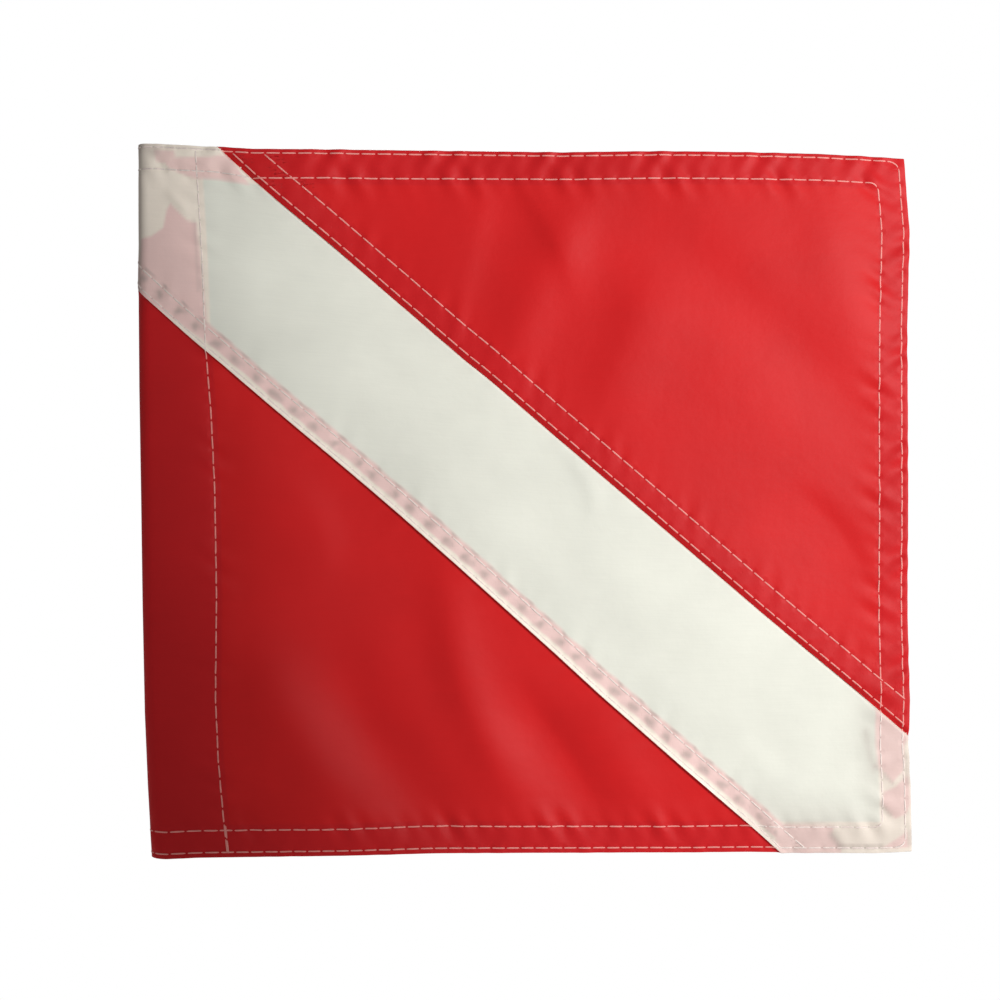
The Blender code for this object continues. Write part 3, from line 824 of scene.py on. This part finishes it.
def profile_rings(centre, outward, radius, flatness):
    """A flattened round profile at each point of a course: cosine across it and sine outward."""
    ahead = np.gradient(centre, axis=0)
    ahead /= np.linalg.norm(ahead, axis=1)[:, None]
    across = np.cross(ahead, outward)
    across /= np.linalg.norm(across, axis=1)[:, None]
    outward = np.cross(across, ahead)
    angle = np.arange(THREAD_SIDES) * 2 * math.pi / THREAD_SIDES
    ring = (
        np.cos(angle)[None, :, None] * across[:, None, :] * flatness
        + np.sin(angle)[None, :, None] * outward[:, None, :]
    )
    return (centre[:, None, :] + radius[:, None, None] * ring).reshape(-1, 3), angle


def tube_faces(rings):
    """Four-sided faces from ring to ring of a tube, and one face at either end."""
    here = np.arange(rings - 1)[:, None] * THREAD_SIDES
    side = np.arange(THREAD_SIDES)[None, :]
    beside = (side + 1) % THREAD_SIDES
    corners = [here + side, here + THREAD_SIDES + side, here + THREAD_SIDES + beside, here + beside]
    first = list(range(THREAD_SIDES))
    last = [(rings - 1) * THREAD_SIDES + i for i in first]
    return np.stack(corners, axis=-1).reshape(-1, 4).tolist() + [first, last[::-1]]


def make_thread(name, corners, base, side, shown=None):
    """One thread: a flattened round profile carried along its row, dipping in at every stitch.

    shown gives the lowest and highest u and v of the part of the row where this thread lies bare.
    """
    settings = bpy.context.scene.flag_stitches
    course = stitched(corners)
    if shown:
        u, v = course[:2]
        course = course[:, (u > shown[0]) & (v > shown[1]) & (u < shown[2]) & (v < shown[3])]
    u, v, rise, thick, distance = course
    radius = settings.thread / 2
    lift = THREAD_SINK_SHARE * CLOTH / 2 + THREAD_SINK_SHARE * radius
    height = base(u, v) + rise * np.where(rise > 0, lift, CLOTH)
    centre = hang(u, v, side * height)
    outward = hang(u, v, side * (height + CLOTH)) - centre
    points, angle = profile_rings(centre, outward, radius * thick, settings.flatness)
    data = bpy.data.meshes.new(name)
    data.from_pydata(points.tolist(), [], tube_faces(len(centre)))
    set_uv(data, "thread", np.repeat(distance, THREAD_SIDES), np.tile(angle * radius, len(centre)))
    over_white = (seam_place(UPPER_SEAM, u, v)[1] > 0) & (seam_place(LOWER_SEAM, u, v)[1] < 0)
    set_values(data, "over_white", np.repeat(over_white, THREAD_SIDES))
    data.shade_smooth()
    data.materials.append(thread_finish(settings))
    mesh = bmesh.new()
    mesh.from_mesh(data)
    bmesh.ops.recalc_face_normals(mesh, faces=mesh.faces[:])
    mesh.to_mesh(data)
    mesh.free()
    thread = new_object(f"{name}_stitches", data)
    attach(thread, BODY)
    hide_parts(name)
    return thread


def front_height(u, v):
    """Height of the front cloth over the front of the flag, seen from the front."""
    return -front_depth(u, v)


def hem_back_height(u, v):
    """Height of a hem's back layer, seen from behind: the fold's width less the cloth's own depth."""
    inward = np.stack([HOIST - v, v, FLY - u])
    nearest = inward.argmin(axis=0)
    past = 2 * inward.min(axis=0) + (math.pi - 2) * HEM_RADIUS
    past_u = u + np.where(nearest == 2, past, 0.0)
    past_v = v + np.where(nearest == 0, past, 0.0) - np.where(nearest == 1, past, 0.0)
    return 2 * HEM_RADIUS - front_depth(past_u, past_v)


def corner_arc(from_fly, from_edge, at_top):
    """The rounded corner of a hem row at the fly: a quarter circle from the row before it."""
    start = math.pi / 2 if at_top else 0.0
    angle = start - steps(0.0, math.pi / 2, CORNER_STEPS)
    centre_u = FLY - from_fly - ROW_CORNER
    centre_v = HOIST - from_edge - ROW_CORNER if at_top else from_edge + ROW_CORNER
    return np.stack([centre_u + ROW_CORNER * np.cos(angle), centre_v + ROW_CORNER * np.sin(angle)], axis=-1)


def hem_row(inward, start_u):
    """A hem row: along the top, down the fly edge and back along the foot."""
    from_top, from_fly, from_foot = inward
    top, foot = [[start_u, HOIST - from_top]], [[start_u, from_foot]]
    corners = corner_arc(from_fly, from_top, True), corner_arc(from_fly, from_foot, False)
    return np.concatenate([top, *corners, foot])


def seam_row(seam, inward, first_edge, last_edge):
    """A seam row between the two places where it meets a given line."""
    start = seam_point(seam, 0.0, -inward)
    ends = []
    for axis, value in (first_edge, last_edge):
        distance = (value - start[axis]) / seam.along[axis]
        ends.append(seam_point(seam, distance, -inward))
    return np.array(ends)


# Where a seam's rows end, each an axis and a place on it: at the hems, or on the sleeve's flap
HEM_ENDS = (1, HOIST - ROW_END), (0, FLY - ROW_END)
FLAP_ENDS = (0, -FLAP_CUT + ROW_END), (1, ROW_END)
ROWS = {
    "upper_seam_edge": seam_row(UPPER_SEAM, UPPER_SEAM_ROWS[0], *HEM_ENDS),
    "upper_seam_inner": seam_row(UPPER_SEAM, UPPER_SEAM_ROWS[1], *HEM_ENDS),
    "lower_seam_edge": seam_row(LOWER_SEAM, LOWER_SEAM_ROWS[0], *FLAP_ENDS),
    "lower_seam_inner": seam_row(LOWER_SEAM, LOWER_SEAM_ROWS[1], *FLAP_ENDS),
    "hem_outer": hem_row(HEM_ROW_OUTER, -FLAP_CUT + ROW_END),
    "hem_inner": hem_row(HEM_ROW_INNER, -FLAP_CUT + ROW_END),
    "sleeve_row": np.array([[SLEEVE_ROW, HOIST - ROW_END], [SLEEVE_ROW, ROW_END]]),
}

# The sleeve's row as its two threads take it: the one in front comes back over its last stitches
FLAP_ROW_COURSE = np.array([[-FLAP_ROW, HOIST - ROW_END], [-FLAP_ROW, ROW_END]])
SLEEVE_LENGTH = HOIST - 2 * ROW_END
BACKTACK = BACKTACK_STITCHES * SLEEVE_LENGTH / round(SLEEVE_LENGTH / STITCH) - BACKTACK_ASIDE
SLEEVE_COURSE = np.array([
    [SLEEVE_ROW, HOIST - ROW_END],
    [SLEEVE_ROW, ROW_END],
    [SLEEVE_ROW + BACKTACK_ASIDE, ROW_END],
    [SLEEVE_ROW + BACKTACK_ASIDE, ROW_END + BACKTACK],
])
ROW_PIECES = row_pieces(ROWS.values())
HOLE_PIECES = ROW_PIECES + row_pieces([FLAP_ROW_COURSE])

# The lowest and highest u and v between which the seams' and the hems' bobbin threads lie bare
CLEAR_OF_HEM = HEM_WIDTH + ROW_END
SEAM_BACKS = (FLAP + ROW_END, CLEAR_OF_HEM, FLY - CLEAR_OF_HEM, HOIST - CLEAR_OF_HEM)
HEM_BACKS = (FLAP + ROW_END, 0.0, FLY, HOIST)


def wire(tree, kind, inputs=None, **settings):
    """A new node with its inputs set to a value or joined to another node's output."""
    node = tree.nodes.new(kind)
    for name, value in settings.items():
        setattr(node, name, value)
    for key, value in (inputs or {}).items():
        if isinstance(value, bpy.types.NodeSocket):
            tree.links.new(value, node.inputs[key])
        else:
            node.inputs[key].default_value = value
    return node


def new_finish(name):
    """A material with its shader and nothing else."""
    finish = bpy.data.materials.new(name)
    finish.use_nodes = True
    return finish, finish.node_tree, finish.node_tree.nodes["Principled BSDF"]


def combine(tree, operation, first, second=0.0, third=0.0):
    """The outcome of one step of arithmetic."""
    return wire(tree, "ShaderNodeMath", {0: first, 1: second, 2: third}, operation=operation).outputs[0]


def ribs(tree, coordinate, pitch):
    """Yarns side by side: the sine of the place over their pitch."""
    return combine(tree, "SINE", combine(tree, "MULTIPLY", coordinate, 2 * math.pi / pitch))


def attribute(tree, name):
    """What the points of a mesh hold under a name."""
    return wire(tree, "ShaderNodeAttribute", attribute_name=name).outputs["Fac"]


def noise_of(tree, place, **settings):
    """Cloudy noise over a place on the cloth."""
    return wire(tree, "ShaderNodeTexNoise", {"Vector": place, **settings}).outputs["Fac"]


def map_range(tree, value, ends, results, steps_softly=False):
    """A value's way from one end to the other turned into the way between two results."""
    kind = "SMOOTHSTEP" if steps_softly else "LINEAR"
    inputs = {0: value, 1: ends[0], 2: ends[1], 3: results[0], 4: results[1]}
    return wire(tree, "ShaderNodeMapRange", inputs, interpolation_type=kind).outputs[0]


def mix_colours(tree, share, first, second):
    """The first colour where the share is 0, and the second where it is 1."""
    return wire(tree, "ShaderNodeMix", {0: share, 6: first, 7: second}, data_type="RGBA").outputs[2]


def bumps(tree, layers):
    """The normal that several heights make together, each with its distance in metres."""
    inputs = {"Strength": 1.0}
    for height, distance in layers:
        inputs.update({"Distance": distance, "Height": height})
        inputs["Normal"] = wire(tree, "ShaderNodeBump", inputs).outputs[0]
    return inputs["Normal"]


def set_gloss(shader, gloss):
    """Set a shader's roughness and specular level."""
    for key, value in zip(("Roughness", "Specular IOR Level"), gloss):
        shader.inputs[key].default_value = value


def set_surface(tree, shader, colour, normal, gloss):
    """Join a colour and a normal to a shader, and set its gloss."""
    tree.links.new(colour, shader.inputs["Base Color"])
    tree.links.new(normal, shader.inputs["Normal"])
    set_gloss(shader, gloss)


def soft_step(tree, value, start, end):
    """0 before the start, 1 past the end, and a soft step between; the end may be the lower one."""
    if end > start:
        return map_range(tree, value, (start, end), (0.0, 1.0), True)
    return map_range(tree, value, (end, start), (1.0, 0.0), True)


def hump(tree, value, middle, reach):
    """1 at the middle and 0 beyond its reach on either side."""
    rise = soft_step(tree, value, middle - reach, middle)
    return combine(tree, "MULTIPLY", rise, soft_step(tree, value, middle + reach, middle))


def seam_shares(tree, place):
    """How much of the red cloth in the lower seam shows through the white, and the painted shade there.

    The distance in from the front fold is the flat place's part across the seam; noise makes it wander.
    Dark blotches of painted shade, where the seam puckers, follow one another as a power of a sine of the
    distance along it.
    """
    places = []
    for direction in (LOWER_SEAM.over, LOWER_SEAM.along):
        axis, at_start = (*direction, 0.0), float(LOWER_SEAM.start @ direction)
        across = wire(tree, "ShaderNodeVectorMath", {0: place, 1: axis}, operation="DOT_PRODUCT")
        places.append(combine(tree, "SUBTRACT", across.outputs["Value"], at_start))
    inward, along = places
    noise = noise_of(tree, place, **WANDER_NOISE)
    shifted = combine(tree, "MULTIPLY_ADD", noise, WANDER, -WANDER / 2)
    wandering = combine(tree, "ADD", inward, shifted)
    half = BEHIND_EASE / 2
    bite = soft_step(tree, wandering, SEAM_BITE - half, SEAM_BITE + half)
    before_end = soft_step(tree, wandering, LOWER_SEAM.lap + BEHIND_EASE, LOWER_SEAM.lap - half)
    pink = combine(tree, "MULTIPLY", bite, before_end)
    turns = combine(tree, "MULTIPLY", along, 2 * math.pi / BLOTCH_LENGTH)
    height = combine(tree, "SINE", combine(tree, "MULTIPLY_ADD", noise, BLOTCH_JITTER, turns))
    blotch_shade = combine(tree, "POWER", combine(tree, "MULTIPLY_ADD", height, 0.5, 0.5), BLOTCH_POWER)
    in_seam = combine(tree, "MULTIPLY", blotch_shade, hump(tree, wandering, BLOTCH_INWARD, BLOTCH_REACH))
    in_seam = combine(tree, "MULTIPLY", in_seam, BLOTCH_SHARE)
    # A painted shadow along the hidden fold's edge, broken up by the same blotches
    back_fold_shadow = combine(tree, "MULTIPLY", blotch_shade, hump(tree, wandering, LOWER_SEAM.lap, BACK_FOLD_REACH))
    back_fold_shadow = combine(tree, "MULTIPLY", back_fold_shadow, BACK_FOLD_SHARE)
    return {"behind": pink, "shadow": combine(tree, "MAXIMUM", in_seam, back_fold_shadow)}


def stitch_marks(tree):
    """The needle's holes: a dot of painted shade at the end of every stitch, and the dent that the thread
    pulls.

    The distance from a hole is the length of (place along the row to the nearest hole, place across it).
    """
    share = combine(tree, "FRACT", combine(tree, "ADD", attribute(tree, "stitch_count"), 0.5))
    along = combine(tree, "MULTIPLY_ADD", share, STITCH, -STITCH / 2)
    place = wire(tree, "ShaderNodeCombineXYZ", {0: along, 1: attribute(tree, "stitch_aside")}).outputs[0]
    distance = wire(tree, "ShaderNodeVectorMath", {0: place}, operation="LENGTH").outputs["Value"]
    hold = attribute(tree, "stitch_hold")
    marks = []
    for least, inner, outer in ((HOLE_SHADE_TONE, HOLE_RADIUS, HOLE_EDGE), (0.0, 0.0, DENT_REACH)):
        mark = map_range(tree, distance, (inner, outer), (least, 1.0), True)
        marks.append(wire(tree, "ShaderNodeMix", {0: hold, 2: 1.0, 3: mark}, data_type="FLOAT").outputs[0])
    return marks


def make_nylon(name, colour, others, settings):
    """Plain-woven nylon: two sets of yarns, fine crinkles, a little uneven dye, painted shade in the needle
    holes and a soft sheen.

    others holds the names of the cloth's attributes that change its colour, each with that colour; the
    white's include painted shade.
    """
    finish, tree, shader = new_finish(name)
    place = wire(tree, "ShaderNodeUVMap", uv_map="cloth").outputs["UV"]
    axes = wire(tree, "ShaderNodeSeparateXYZ", {0: place}).outputs
    warp, weft = ribs(tree, axes[0], settings.yarn), ribs(tree, axes[1], settings.yarn)
    weave = combine(tree, "MULTIPLY", warp, weft)
    stretched = wire(tree, "ShaderNodeVectorMath", {0: place, 1: SLUB_STRETCH}, operation="MULTIPLY")
    slub = noise_of(tree, stretched.outputs[0], **SLUB_NOISE)
    uneven = map_range(tree, noise_of(tree, place, **DYE_NOISE), NOISE_ENDS, DYE_TONES)
    streak = map_range(tree, slub, NOISE_ENDS, SLUB_TONES)
    in_seam = seam_shares(tree, place) if len(others) > 1 else {}
    for name_of_share, other in others:
        share = attribute(tree, name_of_share)
        if name_of_share in in_seam:
            share = combine(tree, "MAXIMUM", share, in_seam[name_of_share])
        colour = mix_colours(tree, share, colour, other)
    # The holes darken the colour with painted shade; the dents are bumps
    hole, dent = stitch_marks(tree)
    tone = combine(tree, "MULTIPLY", combine(tree, "MULTIPLY", uneven, streak), hole)
    shade = wire(tree, "ShaderNodeVectorMath", {0: colour, 3: tone}, operation="SCALE").outputs[0]
    crinkle = noise_of(tree, place, **CRINKLE_NOISE)
    layers = (crinkle, settings.crinkle), (dent, settings.dent), (weave, settings.yarn_height)
    set_surface(tree, shader, shade, bumps(tree, layers), NYLON_GLOSS)
    return finish


def thread_finish(settings):
    """Spun thread: plies that wind round it, a little uneven in colour, and redder over red cloth.

    It is made at its first use.
    """
    if "stitching_thread" in bpy.data.materials:
        return bpy.data.materials["stitching_thread"]
    finish, tree, shader = new_finish("stitching_thread")
    place = wire(tree, "ShaderNodeUVMap", uv_map="thread").outputs["UV"]
    axes = wire(tree, "ShaderNodeSeparateXYZ", {0: place}).outputs
    plies = ribs(tree, combine(tree, "MULTIPLY_ADD", axes[0], PLY_SLANT, axes[1]), settings.thread)
    tone = map_range(tree, noise_of(tree, place, **THREAD_NOISE), NOISE_ENDS, THREAD_TONES)
    colours = tuple(settings.colour), tuple(settings.over_white)
    colour = mix_colours(tree, attribute(tree, "over_white"), *colours)
    shade = wire(tree, "ShaderNodeVectorMath", {0: colour, 3: tone}, operation="SCALE").outputs[0]
    set_surface(tree, shader, shade, bumps(tree, [(plies, PLY_HEIGHT)]), THREAD_GLOSS)
    return finish


class FlagClothSettings(bpy.types.PropertyGroup):
    """Sizes and colours of the cloth."""

    grid: bpy.props.FloatProperty(
        name="Grid", description="Side of a face of the cloth", default=1.15 * MM,
        unit="LENGTH", precision=5,
    )
    yarn: bpy.props.FloatProperty(
        name="Yarn pitch", description="Length of one repeat of the weave", default=0.5 * MM,
        unit="LENGTH", precision=5,
    )
    yarn_height: bpy.props.FloatProperty(
        name="Yarn height", description="How far the yarns stand up", default=0.008 * MM,
        unit="LENGTH", precision=6,
    )
    crinkle: bpy.props.FloatProperty(
        name="Crinkle", description="Height of the fine crinkles", default=0.25 * MM,
        unit="LENGTH", precision=5,
    )
    dent: bpy.props.FloatProperty(
        name="Dent", description="Depth of the dents that the stitches pull", default=0.17 * MM,
        unit="LENGTH", precision=5,
    )
    red: bpy.props.FloatVectorProperty(
        name="Red", description="Colour of the red nylon", default=(0.65, 0.0125, 0.0135, 1.0),
        size=4, subtype="COLOR",
    )
    white: bpy.props.FloatVectorProperty(
        name="White", description="Colour of the white nylon", default=(0.833, 0.833, 0.735, 1.0),
        size=4, subtype="COLOR",
    )
    double_red: bpy.props.FloatVectorProperty(
        name="Doubled red", description="Colour of the red nylon in hems and seams",
        default=(0.60, 0.0120, 0.0150, 1.0), size=4, subtype="COLOR",
    )
    double_white: bpy.props.FloatVectorProperty(
        name="Doubled white", description="Colour of the white nylon in hems and seams",
        default=(0.97, 0.87, 0.75, 1.0), size=4, subtype="COLOR",
    )
    # Painted shade: the colour of the grey lines, bands and blotches of shade painted on the white nylon
    shadow: bpy.props.FloatVectorProperty(
        name="Hidden edges", description="Colour of the white nylon over the edge of a hidden layer",
        default=(0.45, 0.37, 0.33, 1.0), size=4, subtype="COLOR",
    )
    pink: bpy.props.FloatVectorProperty(
        name="Show-through", description="Colour of the white nylon over red",
        default=(0.92, 0.655, 0.61, 1.0), size=4, subtype="COLOR",
    )


class FlagStitchSettings(bpy.types.PropertyGroup):
    """Sizes and colour of the stitches."""

    thread: bpy.props.FloatProperty(
        name="Thread", description="Thickness of the thread", default=0.40 * MM, unit="LENGTH", precision=5
    )
    flatness: bpy.props.FloatProperty(
        name="Flatness", description="Width of the thread over its thickness", default=1.7, subtype="FACTOR"
    )
    colour: bpy.props.FloatVectorProperty(
        name="Thread on red", description="Colour of the white thread where red cloth shines through it",
        default=(0.95, 0.35, 0.31, 1.0), size=4, subtype="COLOR",
    )
    over_white: bpy.props.FloatVectorProperty(
        name="Thread on white", description="Colour of the white thread on white cloth",
        default=(0.94, 0.81, 0.75, 1.0), size=4, subtype="COLOR",
    )


class FlagStageSettings(bpy.types.PropertyGroup):
    """The floor, the lamps and the light from all round."""

    floor_drop: bpy.props.FloatProperty(
        name="Floor", description="How far the floor is below the sleeve's lower mouth", default=0.3,
        unit="LENGTH",
    )
    key: bpy.props.FloatProperty(
        name="Key lamp", description="Power of the lamp at the right", default=49.1, unit="POWER"
    )
    back: bpy.props.FloatProperty(
        name="Back lamp", description="Power of the lamp behind the flag", default=11.6, unit="POWER"
    )
    fill: bpy.props.FloatProperty(
        name="Fill", description="Strength of the light from all round", default=0.25, subtype="FACTOR"
    )


class FLAG_OT_panels(bpy.types.Operator):
    """Make the three panels of nylon."""

    bl_idname = "flag.panels"
    bl_label = "Cloth panels"

    def execute(self, context):
        cloth = context.scene.flag_cloth
        over_red = [("layers", tuple(cloth.double_red))]
        over_white = [
            ("layers", tuple(cloth.double_white)),
            ("behind", tuple(cloth.pink)),
            ("shadow", tuple(cloth.shadow)),
        ]
        red = make_nylon("red_nylon_weave", tuple(cloth.red), over_red, cloth)
        white = make_nylon("white_nylon_weave", tuple(cloth.white), over_white, cloth)
        make_panel("upper_red_panel", red, upper_red_depth, [(UPPER_SEAM, True)])
        band_seams = [(LOWER_SEAM, True), (UPPER_SEAM, False)]
        make_panel("white_band", white, white_depth, band_seams)
        make_panel("lower_red_panel", red, under_depth, [(LOWER_SEAM, False)])
        return {"FINISHED"}


class FLAG_OT_seam_rows(bpy.types.Operator):
    """Make the two rows of stitches on each seam."""

    bl_idname = "flag.seam_rows"
    bl_label = "Seam rows"

    def execute(self, context):
        for name in ("upper_seam_edge", "upper_seam_inner", "lower_seam_edge", "lower_seam_inner"):
            make_thread(f"{name}_needle_thread", ROWS[name], front_height, -1)
            make_thread(f"{name}_bobbin_thread", ROWS[name], under_depth, 1, SEAM_BACKS)
        return {"FINISHED"}


class FLAG_OT_hem_rows(bpy.types.Operator):
    """Make the two rows of stitches round the hems."""

    bl_idname = "flag.hem_rows"
    bl_label = "Hem rows"

    def execute(self, context):
        for name in ("hem_outer", "hem_inner"):
            make_thread(f"{name}_needle_thread", ROWS[name], front_height, -1)
            make_thread(f"{name}_bobbin_thread", ROWS[name], hem_back_height, 1, HEM_BACKS)
        return {"FINISHED"}


class FLAG_OT_sleeve_row(bpy.types.Operator):
    """Make the row of stitches that closes the sleeve."""

    bl_idname = "flag.sleeve_row"
    bl_label = "Sleeve row"

    def execute(self, context):
        make_thread("sleeve_row_needle_thread", SLEEVE_COURSE, front_height, -1)
        make_thread("sleeve_row_bobbin_thread", FLAP_ROW_COURSE, front_height, -1)
        return {"FINISHED"}


class FLAG_OT_stage(bpy.types.Operator):
    """Make the floor, the lamps, the white surroundings and the camera."""

    bl_idname = "flag.stage"
    bl_label = "Stage"

    def execute(self, context):
        stage = context.scene.flag_stage
        make_floor(stage.floor_drop)
        add_key_lamp(stage.key)
        add_back_lamp(stage.back)
        make_surroundings(context.scene, stage.fill)
        add_camera(context.scene)
        return {"FINISHED"}


# The stage: the lamps' places, and a floor that turns to plain white over this stretch from its middle
FLAG_MIDDLE = Vector((FLY / 2 - SLEEVE_AXIS_U, 0.0, HOIST / 2))
KEY_PLACE = (0.882, -0.954, 0.265)
KEY_TARGET = (0.973, 0.0, 0.400)
KEY_SPREAD = math.radians(49.8)
KEY_BLEND = 0.06
KEY_RADIUS = 0.07
BACK_PLACE = (-0.1, 1.0, 0.75)
BACK_SIZE = 0.7
FLOOR_RADIUS = 4.0
FLOOR_SIDES = 96
FLOOR_GREY = (0.86, 0.86, 0.86, 1.0)
FLOOR_GLOSS = (0.9, 0.1)
FLOOR_FADE = (0.3, 0.8)
WHITE = (1.0, 1.0, 1.0, 1.0)


def make_floor(drop):
    """A wide round floor: pale where the flag's shadow falls, and plain white for the camera far off."""
    data = bpy.data.meshes.new("floor")
    mesh = bmesh.new()
    bmesh.ops.create_circle(mesh, cap_ends=True, segments=FLOOR_SIDES, radius=FLOOR_RADIUS)
    mesh.to_mesh(data)
    mesh.free()
    middle = (FLAG_MIDDLE.x, 0.0, -drop)
    data.transform(Matrix.Translation(middle))
    floor = new_object("floor", data)
    finish, tree, shader = new_finish("floor_paper")
    shader.inputs["Base Color"].default_value = FLOOR_GREY
    set_gloss(shader, FLOOR_GLOSS)
    place = wire(tree, "ShaderNodeTexCoord").outputs["Object"]
    away = wire(tree, "ShaderNodeVectorMath", {0: place, 1: middle}, operation="DISTANCE").outputs["Value"]
    camera_ray = wire(tree, "ShaderNodeLightPath").outputs["Is Camera Ray"]
    share = combine(tree, "MULTIPLY", soft_step(tree, away, *FLOOR_FADE), camera_ray)
    white = wire(tree, "ShaderNodeEmission", {"Color": WHITE, "Strength": 1.0})
    mixed = wire(tree, "ShaderNodeMixShader", {0: share, 1: shader.outputs[0], 2: white.outputs[0]})
    tree.links.new(mixed.outputs[0], tree.nodes["Material Output"].inputs["Surface"])
    data.materials.append(finish)


def place_lamp(data, place, target):
    """Put a lamp at its place, looking at its target."""
    lamp = new_object(data.name, data)
    lamp.location = place
    lamp.rotation_mode = "QUATERNION"
    lamp.rotation_quaternion = (Vector(target) - Vector(place)).to_track_quat("-Z", "Y")


def add_key_lamp(power):
    """A soft lamp at the right, whose round pool of light fades over the flag's lower left."""
    data = bpy.data.lights.new("key_lamp", "SPOT")
    data.energy = power
    data.spot_size = 2 * KEY_SPREAD
    data.spot_blend = KEY_BLEND
    data.shadow_soft_size = KEY_RADIUS
    place_lamp(data, KEY_PLACE, KEY_TARGET)


def add_back_lamp(power):
    """A wide soft lamp behind the flag."""
    data = bpy.data.lights.new("back_lamp", "AREA")
    data.shape = "DISK"
    data.size = BACK_SIZE
    data.energy = power
    place_lamp(data, BACK_PLACE, FLAG_MIDDLE)


def make_surroundings(scene, strength):
    """Plain light from all round, which the camera sees as white."""
    world = bpy.data.worlds.new("white_surroundings")
    world.use_nodes = True
    scene.world = world
    tree = world.node_tree
    background = tree.nodes["Background"]
    background.inputs["Color"].default_value = WHITE
    background.inputs["Strength"].default_value = strength
    seen = wire(tree, "ShaderNodeBackground", {"Color": WHITE, "Strength": 1.0})
    camera_ray = wire(tree, "ShaderNodeLightPath").outputs["Is Camera Ray"]
    mixed = wire(tree, "ShaderNodeMixShader", {0: camera_ray, 1: background.outputs[0], 2: seen.outputs[0]})
    tree.links.new(mixed.outputs[0], tree.nodes["World Output"].inputs["Surface"])


# The camera: degrees to the side, above and turned, its distance and lens, and what it looks at and sees
CAMERA_SIDE = -4.128
CAMERA_ABOVE = 0.886
CAMERA_ROLL = -0.754
CAMERA_DISTANCE = 0.8
CAMERA_LENS = 66.29
CAMERA_TARGET = Vector((0.1415, 0.0, 0.15102))
CAMERA_SENSOR = 36.0
CAMERA_CLIP = (0.05, 20.0)


def add_camera(scene):
    """The photograph's camera: on a sphere round its target, and turned about its own axis."""
    side, above = math.radians(CAMERA_SIDE), math.radians(CAMERA_ABOVE)
    back = Vector((math.sin(side) * math.cos(above), -math.cos(side) * math.cos(above), math.sin(above)))
    right = (-back).cross(Vector((0.0, 0.0, 1.0))).normalized()
    up = right.cross(-back)
    roll = math.radians(CAMERA_ROLL)
    turned_right = right * math.cos(roll) + up * math.sin(roll)
    turned_up = up * math.cos(roll) - right * math.sin(roll)
    data = bpy.data.cameras.new("photo_camera")
    data.sensor_width = CAMERA_SENSOR
    data.lens = CAMERA_LENS
    data.clip_start, data.clip_end = CAMERA_CLIP
    camera = new_object("photo_camera", data)
    turned = Matrix((turned_right, turned_up, back)).transposed().to_quaternion()
    camera.matrix_world = Matrix.LocRotScale(CAMERA_TARGET + back * CAMERA_DISTANCE, turned, None)
    scene.camera = camera
    scene.view_settings.view_transform = "Standard"


class FLAG_PT_sidebar(bpy.types.Panel):
    """The flag's sizes, colours and steps."""

    bl_idname = "FLAG_PT_sidebar"
    bl_label = "Diver-down flag"
    bl_space_type = "VIEW_3D"
    bl_region_type = "UI"
    bl_category = "Flag"

    def draw(self, context):
        for settings in (context.scene.flag_cloth, context.scene.flag_stitches, context.scene.flag_stage):
            box = self.layout.box()
            for name in settings.__annotations__:
                box.prop(settings, name)
        for operator in OPERATORS:
            self.layout.operator(operator.bl_idname)


OPERATORS = (FLAG_OT_panels, FLAG_OT_seam_rows, FLAG_OT_hem_rows, FLAG_OT_sleeve_row, FLAG_OT_stage)
SETTINGS = {
    "flag_cloth": FlagClothSettings,
    "flag_stitches": FlagStitchSettings,
    "flag_stage": FlagStageSettings,
}


def register():
    """Register the settings, the operators and the panel."""
    for item in (*SETTINGS.values(), *OPERATORS, FLAG_PT_sidebar):
        bpy.utils.register_class(item)
    for name, settings in SETTINGS.items():
        setattr(bpy.types.Scene, name, bpy.props.PointerProperty(type=settings))


def unregister():
    """Take back what register adds."""
    for name in SETTINGS:
        delattr(bpy.types.Scene, name)
    for item in reversed((*SETTINGS.values(), *OPERATORS, FLAG_PT_sidebar)):
        bpy.utils.unregister_class(item)


def main():
    """Make the flag and its stage."""
    register()
    bpy.ops.flag.panels()
    bpy.ops.flag.seam_rows()
    bpy.ops.flag.hem_rows()
    bpy.ops.flag.sleeve_row()
    bpy.ops.flag.stage()


if __name__ == "__main__":
    main()
